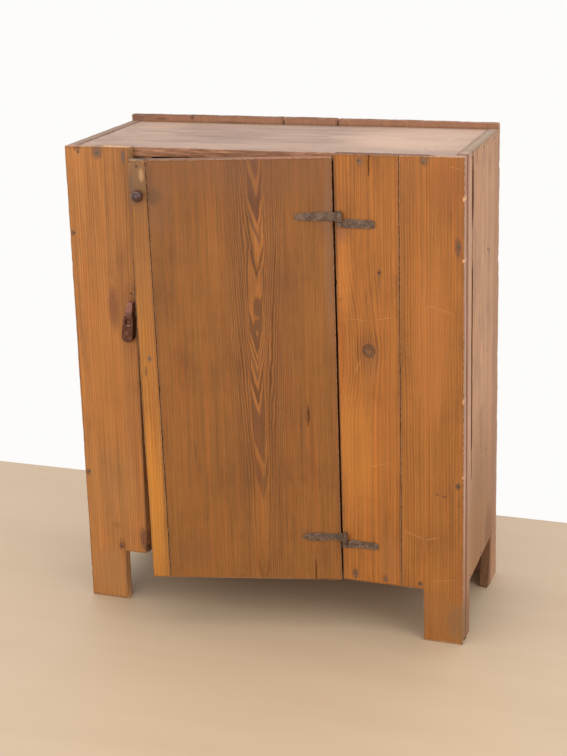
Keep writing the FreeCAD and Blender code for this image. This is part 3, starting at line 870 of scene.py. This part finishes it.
dress(outer_lay, "outer board", dict(
    cuts=[(0, right_foot_start, 0, floor_space)],
    bites=[(outer_edge, -3, 11, 15), (outer_edge, 906, -3, 6.8), (outer_edge, 789, -3, 6.4),
           (outer_edge, 512, -3, 6), (outer_edge, 357, -3, 6), (70, -4, 0, 6.2), (100, -4, 0, 6.5)],
    rounding={"first": 0.9, "last": 2.2, "foot": 2.6}, chip=1.6, every=90, crooked=0.2, seed=8, step=6.5,
), dict(
    heart=(-150, 60), ring=5.0, lean=-0.004, dive=0.008, seed=11.0,
    stains_and_painted_light=[
        (48, 977, 12, 17, (108, 74, 50), 0.65), (48, 976, 5, 6, (110, 90, 74), 0.6),
        (112, 814, 9, 28, (92, 62, 46), 0.7), (113, 338, 7, 9, INK, 0.85), (37, 123, 6, 7, INK, 0.85),
        (72, 317, 3, 4, SOOT, 0.8), (86, 314, 6, 3.0, SOOT, 0.8), (116, 120, 14, 130, (140, 84, 40), 0.5),
        (70, 60, 60, 80, (140, 90, 48), 0.5), (60, 620, 50, 220, (184, 114, 54), 0.35),
        (90, 930, 60, 70, (146, 84, 38), 0.5), (20, 940, 24, 60, (150, 92, 44), 0.4),
        (112, 44, 28, 60, (124, 92, 58), 0.6), (123, 50, 5, 66, (136, 98, 62), 0.8),
        (122.5, 906, 2.5, 7, (230, 176, 126), 0.95), (122.5, 789, 2.5, 5, (230, 176, 126), 0.9),
        (122.5, 512, 2, 7, (224, 170, 120), 0.9), (122.5, 357, 2, 5, (224, 170, 120), 0.9),
        (90, 1, 60, 3.5, PALE_END, 0.5),
    ],
    scratches=[(3, 234, 47, 218, 1.2), (47, 218, 77, 226, 1.2), (49, 700, 106, 684, 1.0),
               (93, 967, 119, 961, 1.0), (60, 130, 110, 140, 1.0)],
    edges=(paint(120, 72, 44), paint(178, 138, 116)), rubbed=0.8, dirt=0.3,
))
print("front boards:", [len(piece.data.vertices) for piece in made_pieces])

# %% [markdown]
# ## The sides, the top and the back
#
# These boards were never waxed.  They are dry and pinkish, paler towards
# the top.  The joint behind the front boards has opened, and the right side
# has split along its grain further back, as wide boards do when their ends
# dry first.

# %% The sides, with the feet cut on them
side_cut_front, side_cut_back, side_back = 40.0, 259.0, 309.0
heel_slope = 20.0


def heel(u, v):
    """The rear foot's front edge slopes back as it rises."""
    reach = np.clip((u - side_cut_back + heel_slope) / heel_slope, 0, 1)
    fade = np.clip((side_back - u) / (side_back - side_cut_back), 0, 1)
    return u - heel_slope * np.clip(1 - v / floor_space, 0, 1) * np.minimum(reach, fade)


SAWN_EDGES = (paint(128, 92, 66), paint(108, 74, 50))
side_marks = {
    "side_left": ("-X", [], [(150, 984, 600, 5, (148, 122, 104), 0.8)]),
    "side_right": (
        "+X", [(53, 836, 984, 16.0, 5), (53, 330, 824, 15.0, 5), (92, 950, 984, 6.0, 4)],
        [(218, 752, 8, 8, INK, 0.7), (50, 331, 7, 9, INK, 0.75),
         (150, 984, 600, 6, (160, 136, 114), 0.9), (53, 828, 8, 7, (150, 104, 76), 0.7),
         (218, 926, 10, 30, SOOT, 0.35), (30, 500, 14, 900, (186, 152, 134), 0.6),
         # (3, 540) darkens the seam behind the front board, and (53, 900) and (53, 580) darken the split: painted
         # shade in the groove and in the crack
         (3, 540, 15, FAR, (132, 78, 46), 0.95), (53, 900, 11, 120, (112, 68, 46), 0.85),
         (53, 580, 7, 250, (116, 72, 50), 0.7), (20, 40, 50, 80, (136, 98, 66), 0.75),
         (250, 50, 16, 75, (84, 60, 42), 0.85), (150, 180, 220, 320, (142, 97, 56), 0.66),
         (285, 500, 30, 700, (150, 106, 78), 0.5), (230, 130, 60, 90, (118, 78, 48), 0.5),
         (185, 978, 5, 8, INK, 0.6), (112, 980, 4, 6, INK, 0.6)],
    ),
}
for node, (face, checks, stains_and_painted_light) in side_marks.items():
    seed = len(node)
    dress(Lay(node, face, "Z"), "side", dict(
        cuts=[(side_cut_front, side_cut_back, 0, floor_space)], checks=checks, slant=heel, arris=2.2,
        rounding={"first": 3.6, "foot": 3.0}, step=9.0, seed=seed, every=90, chip=1.8, crooked=0.6,
        bites=[(side_back + 3, 700, 2, 7), (side_back + 3, 676, 2, 7), (side_back + 3, 465, 2, 6),
               (120, 986, -2, 4.5), (60, 986, -1, 4), (236, 70, 2, 7), (246, 40, 0, 6), (262, 2, 0, 7)],
    ), dict(
        heart=(150, 90), ring=3.6, lean=0.006, dive=0.012, seed=3.0 + seed, figure=0.5, sheen=0.0,
        stains_and_painted_light=stains_and_painted_light, edges=SAWN_EDGES, far_face=SAWN_EDGES[0], edge_rub=paint(156, 114, 80),
        dirt=0.45, rubbed=0.2,
    ))

# %% The top board
dress(Lay("top_board", "+Z", "X"), "top", dict(
    arris=2.0, crooked=1.2, step=9.0, seed=21, chip=2.6, every=30,
), dict(
    heart=(170, 60), ring=4.0, lean=0.02, dive=0.03, seed=23.0, figure=0.6, sheen=0.2,
    edges=(paint(160, 112, 80), paint(160, 112, 80)), edge_rub=paint(200, 146, 118), dirt=0.3,
    rubbed=0.4, stains_and_painted_light=[
        (300, 340, 16, 300, (132, 104, 88), 0.5), (170, 240, 40, 160, (140, 114, 98), 0.55),
        (110, 330, 30, 130, (146, 120, 104), 0.5), (225, 180, 20, 130, (134, 108, 92), 0.5),
        (120, 620, 60, 120, (190, 154, 130), 0.4), (90, 715, 6, 5, SOOT, 0.6),
        # (170, 660) paints the right half of the top paler: painted light
        (170, 660, 200, 190, (216, 182, 156), 0.35), (139, 208, 7, 90, (112, 84, 70), 0.6),
        (134, 297, 6, 70, (110, 84, 70), 0.55), (88, 196, 5, 80, (120, 92, 76), 0.5),
        (102, 442, 6, 80, (122, 96, 82), 0.5), (123, 500, 5, 60, (120, 94, 80), 0.5),
        (187, 98, 6, 60, (118, 88, 70), 0.5), (194, 319, 6, 90, (124, 98, 84), 0.45),
        (64, 700, 5, 4, SOOT, 0.6), (250, 90, 60, 80, (190, 156, 130), 0.4),
    ],
))

# %% The back boards
BACK_EDGE = paint(158, 110, 80)
lip_wear = {"left": (0, 0.2), "middle": (0.2, 0.6), "right": (0.8, 2.6)}
for number, (side, wear) in enumerate(lip_wear.items()):
    lay = Lay("back_board_" + side, "+Y", "Z")
    lip = lay.long
    nicks = [(lay.wide * share, lip + 2, 14, 6.0) for share in (0.06, 0.41, 0.72, 0.93)]
    if side != "right":
        nicks.append((lay.wide + 1.5, lip + 1, 9, 8.0))
    marks = [(100, lip - 7, FAR, 9, (154, 110, 84), 0.55), (100, lip - 0.5, FAR, 2.2, (104, 68, 50), 0.6),
             (100, lip - 15, FAR, 3, (126, 94, 62), 0.5),
             (0 if side == "left" else FAR, lip, 70, 20, (104, 74, 62), 0.6),
             (lay.wide if side == "right" else 0, 500, 3, FAR, (182, 142, 114), 0.9)]
    if side == "left":
        marks += [(144, lip - 4, 5, 7, (74, 48, 36), 0.8), (70, lip - 9, 22, 5, (104, 66, 50), 0.6),
                  (240, lip - 14, 50, 3, (96, 66, 50), 0.5)]
    dress(lay, "back", dict(
        arris=1.8, crooked=1.2, step=11.0, seed=31 + number, bites=nicks, every=60,
        rounding={"head": 2.6}, chip=2.6, sinks=wear,
    ), dict(
        heart=(lay.wide * 0.4, 30 + 20 * number), ring=4.5, lean=0.015 - 0.01 * number, dive=0.02,
        seed=31.0 + number, flame=0.4, sheen=0.0, rubbed=0.2, edges=(BACK_EDGE, BACK_EDGE),
        far_face=BACK_EDGE, stains_and_painted_light=marks,
    ))
print("with sides, top and back:", len(made_pieces))

# %% [markdown]
# ## Inside the case
#
# Shelves, cleats, the floor board, the door stop and the battens are rough
# sawn and bare.  They show when the door stands open, so they get the same
# worn mesh and grain, with coarser grids.

# %% Shelves, cleats, floor, stop
rough_boards = [("bottom_board", "+Z", "X")]
for level_name in ("lower", "middle", "upper"):
    rough_boards.append(("shelf_" + level_name, "+Z", "X"))
    rough_boards.append(("cleat_" + level_name + "_left", "+X", "Y"))
    rough_boards.append(("cleat_" + level_name + "_right", "-X", "Y"))
for number, (node, face, grain) in enumerate(rough_boards):
    lay = Lay(node, face, grain)
    dress(lay, "inside", dict(arris=1.4, step=14.0, seed=51 + number, hollow=0.25), dict(
        heart=(lay.wide * (0.2 + 0.07 * number), 40 + 5 * number), ring=4.0, lean=0.01, dive=0.012,
        seed=51.0 + number, figure=0.55, flame=0.3, sheen=0.0, dirt=0.3, rubbed=0.3,
    ))
dress(Lay("door_stop", "-Y", "Z"), "door", dict(arris=1.2, step=10.0, seed=71, hollow=0.2), dict(
    heart=(-60, 40), ring=3.4, dive=0.01, seed=71.0, sheen=0.2, dirt=0.3, rubbed=0.2,
    # the near-black mark at the top is painted shade, where the stop stands in the dark gap behind the stile
    stains_and_painted_light=[(40, 828, 20, 26, (44, 28, 20), 0.8)],
))
print("pieces so far:", len(made_pieces))

# %% [markdown]
# ## The door
#
# One wide flat-sawn board carries a tall flame of nested V's, because the
# saw passed close to the heart of the log.  A narrow golden strip was added
# at its free edge.  Both are made shut and then stood ajar.  The door has
# sagged a little, so its edges lean.

# %% Door board and edge strip
door_lay = Lay("door_board", "-Y", "Z", stand_ajar)
strip_lay = Lay("door_edge_strip", "-Y", "Z", stand_ajar)


def door_leans(u, v):
    """The door board leans towards its hinges at the foot."""
    rise, share = v / door_lay.long, u / door_lay.wide
    return u + (1 - rise) * (8.0 - 5.2 * share) + rise * (-2.1 - 0.3 * share)


def strip_leans(u, v):
    """The strip follows the door board; its free edge swells in the middle."""
    rise, share = v / strip_lay.long, u / strip_lay.wide
    free_edge = np.interp(rise, [0, 0.2, 0.35, 0.6, 1], [8.0, 6.4, 3.8, 1.8, 0.8])
    return u + free_edge * (1 - share) + (8.0 * (1 - rise) - 2.1 * rise) * share


FLAME_TIPS = [
    (0, 12.4, 203), (60, 12.35, 203), (110, 12.3, 203), (140, 12.15, 203), (171, 11.95, 203),
    (215, 11.45, 204), (246, 10.95, 206), (349, 10.5, 201), (371, 9.95, 200), (400, 9.45, 200),
    (420, 8.95, 199), (438, 8.45, 200), (453, 7.95, 200), (460, 7.45, 201), (472, 6.97, 201),
    (508, 6.6, 202), (518, 6.3, 202), (560, 6.12, 202), (606, 6.05, 203), (630, 5.94, 204),
    (642, 5.48, 205), (690, 5.25, 210), (694, 4.95, 212), (714, 4.45, 212), (736, 3.95, 210),
    (791, 3.45, 208), (822, 2.95, 209), (867, 2.5, 208),
]
dress(door_lay, "door", dict(
    checks=[(302, 0, 42, 1.8, 8), (296, 333, 372, 1.4, 5)], slant=door_leans, seed=81, step=8.0,
    rounding={"last": 0.9, "first": 0.7}, crooked=0.3,
    bites=[(3, door_lay.long + 3, 0, 5), (156, -4, 0, 5.5)],
), dict(
    tips=FLAME_TIPS, eyes=[(203, 577, 8.5, 28), (202, 538, 5, 10)], seed=83.0, figure=0.1, flame=0.68,
    stains_and_painted_light=[
        (240, 870, 420, 110, (120, 78, 50), 0.42), (20, 780, 40, 90, (120, 80, 54), 0.4),
        (8, 796, 24, 24, (96, 70, 44), 0.6), (340, 760, 26, 60, (120, 80, 54), 0.4),
        (70, 274, 3.5, 30, SOOT, 0.55), (296, 352, 4, 24, SOOT, 0.6),
        (60, 60, 60, 50, (128, 80, 42), 0.45), (346, 690, 14, 260, (128, 92, 66), 0.5),
        (2, 830, 12, 60, (104, 68, 44), 0.5), (156, 4, 5, 6, SOOT, 0.7),
        (322, 758, 14, 8, (104, 68, 42), 0.4), (290, 100, 20, 16, (112, 74, 44), 0.35),
        (178, 1, 200, 3, (176, 128, 80), 0.6), (207, 852, 8, 27, (100, 62, 44), 0.5),
        (206, 762, 6, 22, (104, 66, 46), 0.35),
    ],
    edges=(paint(134, 84, 52), paint(186, 106, 64)), rubbed=0.6,
))
dress(strip_lay, "strip", dict(
    seed=87, step=6.0, slant=strip_leans, arris=1.8, crooked=0.4, chip=1.8, every=60,
    rounding={"first": 3.6, "last": 1.0},
    bites=[(-2, strip_lay.long - 2, -2, 7), (-3, 610, -1, 6), (34, strip_lay.long + 2, -1, 5),
           (18, 857, -1, 2.6), (-3, 470, 0, 5)],
), dict(
    heart=(-60, 40), ring=6.0, lean=0.012, dive=0.012, seed=89.0,
    stains_and_painted_light=[
        (18, 826, 34, 76, (118, 88, 60), 0.8), (17, 855, 3.5, 4, (56, 36, 22), 0.9),
        (6, 820, 8, 30, (112, 84, 64), 0.7), (24, 720, 26, 110, (134, 88, 48), 0.6),
        (24, 600, 20, 90, (146, 96, 48), 0.4), (12, 795, 20, 26, (128, 84, 56), 0.6),
        (24, 470, 6, 8, (88, 80, 74), 0.85), (26, 838, 7, 18, (190, 146, 104), 0.6),
        (15, 443, 3, 16, (84, 62, 44), 0.6), (16, 160, 26, 220, (200, 130, 46), 0.5),
        (0, 590, 5, 90, (120, 80, 48), 0.5), (10, 640, 20, 70, (148, 96, 52), 0.4),
        # (1, 300) is a painted highlight along the strip's rounded free edge
        (1, 300, 3.4, 400, (204, 150, 100), 0.6), (30, 480, 8, 300, (150, 92, 46), 0.4),
    ],
    edges=(paint(150, 100, 58), paint(70, 40, 30)),
))

# %% Battens
for number, level_name in enumerate(("upper", "lower")):
    batten_lay = Lay("door_batten_" + level_name, "+Y", "X", stand_ajar)
    dress(batten_lay, "inside", dict(arris=1.8, step=9.0, seed=91 + number), dict(
        heart=(20, 40), ring=3.6, seed=91.0 + number, figure=0.5, flame=0.3, sheen=0.0, dirt=0.3,
        rubbed=0.3,
    ))
print("door: %.0f x %.0f mm board" % (door_lay.wide, door_lay.long))

# %% [markdown]
# ## Iron
#
# The straps, pins and nails were hammered from bar and have rusted to a
# brown skin with paler rubbed ridges.  The smith's surface is uneven all
# over, so each strap is a copy of its solid, remeshed fine and even, and
# then pushed about by slow noise, a little inward.


# %% Iron finish
def iron(name, scale=1.0, rust=(84, 64, 50), skin_tone=(112, 88, 70)):
    """Old wrought iron: brown rust, dark hollows, rubbed grey ridges."""
    finish = Finish(name, Metallic=0.35)
    x, y, z = (place * scale for place in finish.places())
    broad = finish.cloud([x * 0.09, y * 0.09, z * 0.09], 3.0)
    fine = finish.cloud([x * 0.7, y * 0.7, z * 0.7], 4.0, 0.65)
    skin = finish.mix(broad.rise(0.38, 0.62), paint(*rust), paint(*skin_tone))
    skin = finish.mix(fine.rise(0.54, 0.7) * 0.8, skin, paint(152, 128, 108))
    skin = finish.mix(fine.rise(0.46, 0.32) * 0.85, skin, paint(50, 34, 26))
    finish.feed(Base_Color=skin, Roughness=0.72 - broad * 0.25)
    finish.relief(fine + broad * 0.6, 0.6, 0.5 * MM)
    return finish


strap_iron = iron("wrought_iron")
nail_iron = iron("nail_iron", 1.6)
screw_iron = iron("screw_iron", 1.6, (96, 52, 32), (122, 72, 48))


# %% Even meshes and slow relief
def remade(node, voxel, stand=AS_PACKED, welded=()):
    """A solid's mesh remeshed into small even faces, with more corners welded on."""
    mesh = frame["nodes"][node].data.copy()
    mesh.transform(stand.inverted())
    form = bmesh.new()
    form.from_mesh(mesh)
    for corners in welded:
        new = [form.verts.new(Vector(corner) * MM) for corner in corners]
        bmesh.ops.convex_hull(form, input=new)
    bmesh.ops.remove_doubles(form, verts=form.verts, dist=0.01 * MM)
    form.to_mesh(mesh)
    form.free()
    holder = bpy.data.objects.new("holder", mesh)
    bpy.context.scene.collection.objects.link(holder)
    even = holder.modifiers.new("even", "REMESH")
    even.mode = "VOXEL"
    even.voxel_size = voxel * MM
    soft = holder.modifiers.new("soft", "SMOOTH")
    soft.factor, soft.iterations = 0.5, 3
    view = bpy.context.evaluated_depsgraph_get()
    fine = bpy.data.meshes.new_from_object(holder.evaluated_get(view))
    bpy.data.objects.remove(holder)
    return fine


def mesh_arrays(mesh):
    """A mesh's points in millimetres and its normals."""
    points = np.array([v.co for v in mesh.vertices]) / MM
    normals = np.array([n.vector for n in mesh.vertex_normals])
    return points, normals


def bumps(points, seed, waves):
    """Slow random relief through space, between 0 and 1."""
    draw = random.Random(seed)
    total = np.zeros(len(points))
    for wave in waves:
        for _ in range(3):
            way = Vector([draw.gauss(0, 1) for _ in range(3)]).normalized()
            total += np.sin(points @ np.array(way) * 2 * math.pi / wave + draw.uniform(0, 6.3))
    return 0.5 + 0.5 * np.clip(total / (1.7 * len(waves)), -1, 1)


# %% Forged straps
def forged(node, seed, heights, stand=AS_PACKED, welded=()):
    """A strap as the smith left it; heights gives its height share by reach from the pin."""
    mesh = remade(node, 0.8, stand, welded)
    points, normals = mesh_arrays(mesh)
    reach = abs(points[:, 0] - pin.x / MM)
    clear_of_eye = reach > 20
    plate = points[clear_of_eye, 2]
    middle = (plate.min() + plate.max()) / 2
    share = np.interp(reach, *zip(*heights))
    points[:, 2] = middle + (points[:, 2] - middle) * share
    beaten = 0.15 + 0.5 * bumps(points, seed, (17, 8)) + 0.25 * bumps(points, seed + 1, (4.5,))
    points = points - normals * beaten[:, None]
    mesh.vertices.foreach_set("co", (points * MM).astype(np.float32).ravel())
    mesh.shade_smooth()
    mesh.name = node + "_forged"
    return mesh


def swan_neck(node):
    """The corners of the thick neck that bends up from the case strap to the pin."""
    low, high = node_box(node)
    pin_x, face_y = pin.x / MM, high[1]
    foot, top = low[2], low[2] + 19.0
    outline = [(-6, top - 7), (-6, top - 12), (3, foot + 2), (13, foot), (14, top - 1), (9, top - 6)]
    neck = []
    for x, z in outline:
        reach = max(0.0, 1 - max(x, 0) / 12)
        neck += [(pin_x + x, face_y - 0.3 - 5 * reach, z), (pin_x + x, face_y - 3.2 - 8 * reach, z)]
    return neck


DOOR_STRAP_HEIGHTS = {
    "upper": [(10, 1.0), (20, 0.95), (60, 0.86), (78, 0.8), (86, 1.1)],
    "lower": [(10, 1.0), (16, 0.72), (30, 0.78), (55, 0.95), (74, 0.8), (86, 0.45)],
}
CASE_STRAP_HEIGHTS = {
    "upper": [(14, 1.0), (54, 0.92), (62, 1.15), (68, 1.4)],
    "lower": [(14, 1.0), (30, 0.8), (54, 0.86), (68, 1.1)],
}
for number, level_name in enumerate(("upper", "lower")):
    node = "hinge_strap_" + level_name
    strap = forged(node, 101 + number, DOOR_STRAP_HEIGHTS[level_name], stand_ajar)
    place_piece(strap, node, strap_iron, stand_ajar)
    node = "pintle_strap_" + level_name
    strap = forged(node, 111 + number, CASE_STRAP_HEIGHTS[level_name], welded=[swan_neck(node)])
    place_piece(strap, node, strap_iron)
print("straps:", [len(piece.data.vertices) for piece in made_pieces[-4:]])

# %% [markdown]
# A forged nail has a square tapered shank and a rose head: four or five
# hammer blows leave as many facets.  The places and directions are read
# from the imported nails, and each head is spun and sized a little differently.
# Nails, screws and the knob are all rows of points round an axis.


# %% Rows of points round an axis
def ring_faces(rows, sides):
    """The faces between rows of points round an axis, closed at both ends."""
    faces = []
    for row in range(rows - 1):
        for n in range(sides):
            m = (n + 1) % sides
            faces.append([row * sides + n, row * sides + m, (row + 1) * sides + m, (row + 1) * sides + n])
    return faces + [list(reversed(range(sides))), [(rows - 1) * sides + n for n in range(sides)]]


def stood(points, place, outward):
    """Points made about the z axis, turned to point outward and put in their place."""
    turn = Vector((0, 0, 1)).rotation_difference(Vector(outward)).to_matrix()
    return np.array([turn @ Vector(point) for point in points]) + place


def spun(profile, place, outward, sides, out_of_round=0.0):
    """A shape turned about an axis, from (reach, height) points."""
    points = []
    for reach, height in profile:
        for n in range(sides):
            angle = 2 * math.pi * n / sides
            wobble = 1 + out_of_round * math.sin(2 * angle + height * 0.2)
            points.append((reach * wobble * math.cos(angle), reach * wobble * math.sin(angle), height))
    return stood(points, place, outward), ring_faces(len(profile), sides)


# %% Where the nails are
def islands(node, stand=AS_PACKED):
    """The points of each separate solid of a node."""
    form = bmesh.new()
    form.from_mesh(frame["nodes"][node].data)
    bmesh.ops.remove_doubles(form, verts=form.verts, dist=0.01 * MM)
    turn = stand.inverted()
    left_over, groups = set(form.verts), []
    while left_over:
        front_line = [left_over.pop()]
        group = []
        while front_line:
            vert = front_line.pop()
            group.append(turn @ vert.co)
            for edge in vert.link_edges:
                other = edge.other_vert(vert)
                if other in left_over:
                    left_over.discard(other)
                    front_line.append(other)
        groups.append(np.array(group) / MM)
    form.free()
    return sorted(groups, key=lambda group: tuple(group.mean(axis=0).round(2)))


def nail_axis(points):
    """Where a nail's head is, which way it points outward, its length and its radius."""
    low, high = points.min(axis=0), points.max(axis=0)
    axis = int(np.argmax(high - low))
    aside = [a for a in range(3) if a != axis]
    middle = (low + high) / 2
    radii = np.sqrt(((points[:, aside] - middle[aside]) ** 2).sum(axis=1))
    head_at = points[np.argmax(radii), axis]
    outward = np.zeros(3)
    outward[axis] = 1 if head_at > middle[axis] else -1
    crown = middle.copy()
    crown[axis] = high[axis] if outward[axis] > 0 else low[axis]
    return crown, outward, (high - low)[axis], radii.max()


# %% Nails
def rose_nail(crown, outward, length, radius, draw):
    """Points and faces of one nail: a faceted head on a square tapered shank."""
    sides = 10
    facets = draw.choice((4, 5))
    profile = [(0.02, 0.0), (0.45, -0.12), (0.8, -0.45), (1.0, -1.0), (0.9, -1.5), (0.4, -1.6)]
    shank = [(1.5, -1.7), (1.2, -length * 0.6), (0.5, -length)]
    spin = draw.uniform(0, math.pi)
    angles = [spin + 2 * math.pi * n / sides for n in range(sides)]
    points = []
    for share, drop in profile:
        for angle in angles:
            ridge = 1 - 0.10 * abs(math.sin(facets * (angle - spin) / 2)) * share
            reach = radius * share * ridge * draw.uniform(0.96, 1.0)
            points.append((reach * math.cos(angle), reach * math.sin(angle), drop))
    for half, drop in shank:
        for angle in angles:
            square = half / max(abs(math.cos(angle - spin)), abs(math.sin(angle - spin))) * 0.9
            points.append((square * math.cos(angle), square * math.sin(angle), drop))
    return stood(points, crown, outward), ring_faces(len(profile) + len(shank), sides)


def nails(node, seed, stand=AS_PACKED):
    """All the nails of one node, as one piece of separate nails."""
    draw = random.Random(seed)
    points, faces, start = [], [], 0
    for group in islands(node, stand):
        more, more_faces = rose_nail(*nail_axis(group), draw)
        points.append(more)
        faces += [[start + corner for corner in face] for face in more_faces]
        start += len(more)
    mesh = build(node, np.concatenate(points), faces)
    mesh.name = node + "_forged"
    place_piece(mesh, node, nail_iron, stand)
    return len(points)


nail_counts = {}
for number, node in enumerate(sorted(n for n in frame["nodes"] if "nails" in n)):
    stand = stand_ajar if bodies[node] == "door" else AS_PACKED
    nail_counts[node] = nails(node, 131 + number, stand)
print("nails:", nail_counts)

# %% [markdown]
# ## The knob, the button and their screws
#
# The knob was turned on a lathe and polished nearly black by hands, so it is
# a profile spun about its axis.  The button was whittled: its solid is
# remeshed fine and then cut by many small flat knife strokes.


# %% Hand-polished wood
def polished(name, dark, pale, rub_and_highlight, roughness, dents=0.3, worn_and_lit_from=None, rim=None):
    """Dark hard wood, rubbed by hands: faint grain under a deep polish, an upper part paler from wear and a
    painted highlight, and a painted highlight on a rim.
    """
    finish = Finish(name, Coat_Weight=0.35 - dents, Coat_Roughness=0.2, Specular_IOR_Level=0.4)
    x, y, z = finish.places()
    grain = finish.cloud([x * 0.9, y * 0.9, z * 0.12], 3.0, 0.6)
    wear = finish.cloud([x * 0.13, y * 0.13, z * 0.09], 3.0)
    colour = finish.mix(grain.rise(0.35, 0.7), dark, pale)
    colour = finish.mix(wear.rise(0.5, 0.72) * 0.5, colour, rub_and_highlight)
    if worn_and_lit_from is not None:
        # the upper part is painted paler: partly wear, partly a painted highlight
        colour = finish.mix(z.rise(worn_and_lit_from, worn_and_lit_from + 22) * 0.6, colour, rub_and_highlight)
    # rim carries a painted highlight: a pale crescent on the lower rim of the screw hole
    if rim is not None:
        bow = (x - rim[0]) * (x - rim[0]) * -0.06
        light = oval(x, z + bow, rim[0], rim[1], 5.0, 1.5).rise(1.3, 0.3)
        colour = finish.mix(light * 0.65, colour, paint(196, 144, 112))
    finish.feed(Base_Color=colour, Roughness=roughness + grain * 0.15)
    finish.relief(grain + wear, 0.25, dents * MM)
    return finish


# %% The knob
knob_low, knob_high = node_box("door_knob", stand_ajar)
knob_radius = 0.985 * (knob_high[0] - knob_low[0]) / 2
knob_foot = np.array([(knob_low[0] + knob_high[0]) / 2, knob_high[1], (knob_low[2] + knob_high[2]) / 2])
ball_middle = knob_high[1] - knob_low[1] - knob_radius
ball_rows, ball_from, ball_turn = 21, -62, 152
knob_profile = [(0.1, 0), (7.2, 0), (7.5, 0.6), (7.5, 1.6), (7.0, 2.4), (5.8, 2.8), (5.4, 3.6), (5.4, 5.0)]
for row in range(1, ball_rows + 1):
    angle = math.radians(ball_from + ball_turn * row / ball_rows)
    reach = max(knob_radius * math.cos(angle), 0.05)
    knob_profile.append((reach, ball_middle + knob_radius * math.sin(angle)))
knob_mesh = build("door_knob", *spun(knob_profile, knob_foot, (0, -1, 0), 48, out_of_round=0.006))
knob_finish = polished("knob_wood", paint(56, 33, 27), paint(82, 52, 42), paint(104, 76, 66), 0.18, 0.12)
place_piece(knob_mesh, "door_knob", knob_finish, stand_ajar)
print("knob radius %.1f mm" % knob_radius)

# %% The turn button
button_mesh = remade("turn_button", 0.8)
button_points, button_normals = mesh_arrays(button_mesh)
knife = random.Random(151)
strokes, stroke_reach, bite, deepest_cut = 14, 18.0, 0.35, 0.5
for _ in range(strokes):
    spot = knife.randrange(len(button_points))
    way = Vector(button_normals[spot]) + Vector([knife.gauss(0, 0.06) for _ in range(3)])
    way = np.array(way.normalized())
    off = (button_points - button_points[spot]) @ way + bite
    near = ((button_points - button_points[spot]) ** 2).sum(axis=1) < stroke_reach**2
    facing = button_normals @ way > 0.6
    cut = np.where((off > 0) & near & facing, np.minimum(off, deepest_cut), 0)
    button_points = button_points - way * cut[:, None]
screw_low, screw_high = node_box("turn_button_screw")
hole_x, _, hole_z = ((screw_low + screw_high) / 2).tolist()
button_back = node_box("turn_button")[1][1]
button_thick, thinned, thins_from, thins_over = 17, 3.5, 22, 22
over_hole = button_points[:, 2] - hole_z
taper = np.interp(over_hole, [2, 12, 22, 34, 48], [1.0, 1.05, 1.12, 0.98, 0.8])
button_points[:, 0] = hole_x + (button_points[:, 0] - hole_x) * taper
before_back = (button_back - button_points[:, 1]) / button_thick
button_points[:, 1] += thinned * np.clip((over_hole - thins_from) / thins_over, 0, 1) * before_back
button_mesh.vertices.foreach_set("co", (button_points * MM).astype(np.float32).ravel())
button_mesh.shade_smooth()
button_mesh.name = "turn_button_whittled"
# The button's upper part carries wear and a painted highlight, and the lower rim of its screw hole a painted
# highlight.
button_finish = polished("button_wood", paint(68, 28, 10), paint(102, 52, 24), paint(166, 110, 90), 0.36,
                         worn_and_lit_from=hole_z + 10, rim=(hole_x + 0.5, hole_z - 6.2))
place_piece(button_mesh, "turn_button", button_finish)


# %% The two screws
def screw_place(node, stand=AS_PACKED, from_back=False):
    """The middle of a screw's head, and how long the screw is."""
    low, high = node_box(node, stand)
    head = (low + high) / 2
    head[1] = high[1] if from_back else low[1]
    return head, high[1] - low[1]


head, screw_length = screw_place("turn_button_screw")
threads, plain_shank, slot_half, slot_deep = 14, 9.0, 0.75, 1.1
profile = [(0.05, 0.0), (1.6, 0.0), (3.2, -0.05), (4.2, -0.2), (5.5, -2.0), (5.5, -2.4), (3.0, -2.5)]
for thread in range(threads):
    drop = -plain_shank - thread * (screw_length - plain_shank - 1.0) / threads
    profile += [(3.0, drop), (2.4, drop - 0.5)]
profile.append((0.4, -screw_length))
screw_points, screw_faces = spun(profile, head, (0, -1, 0), 40)
slot = (abs(screw_points[:, 2] - head[2]) < slot_half) & (screw_points[:, 1] < head[1] + 0.3)
screw_points[slot, 1] += slot_deep
place_piece(build("turn_button_screw", screw_points, screw_faces), "turn_button_screw", screw_iron)

head, screw_length = screw_place("knob_screw", stand_ajar, from_back=True)
profile = [(0.05, -0.0), (2.0, 0.0), (3.6, -0.4), (4.4, -1.2), (4.4, -1.6), (2.2, -1.7),
           (2.2, 1.0 - screw_length), (0.3, -screw_length)]
place_piece(build("knob_screw", *spun(profile, head, (0, 1, 0), 32)), "knob_screw", nail_iron, stand_ajar)
print("screws done, the last %.1f mm long" % screw_length)

# %% [markdown]
# The last cell counts the dressed pieces and their points.

# %% Measure and finish
print("pieces:", len(made_pieces), "points:", sum(len(p.data.vertices) for p in made_pieces))
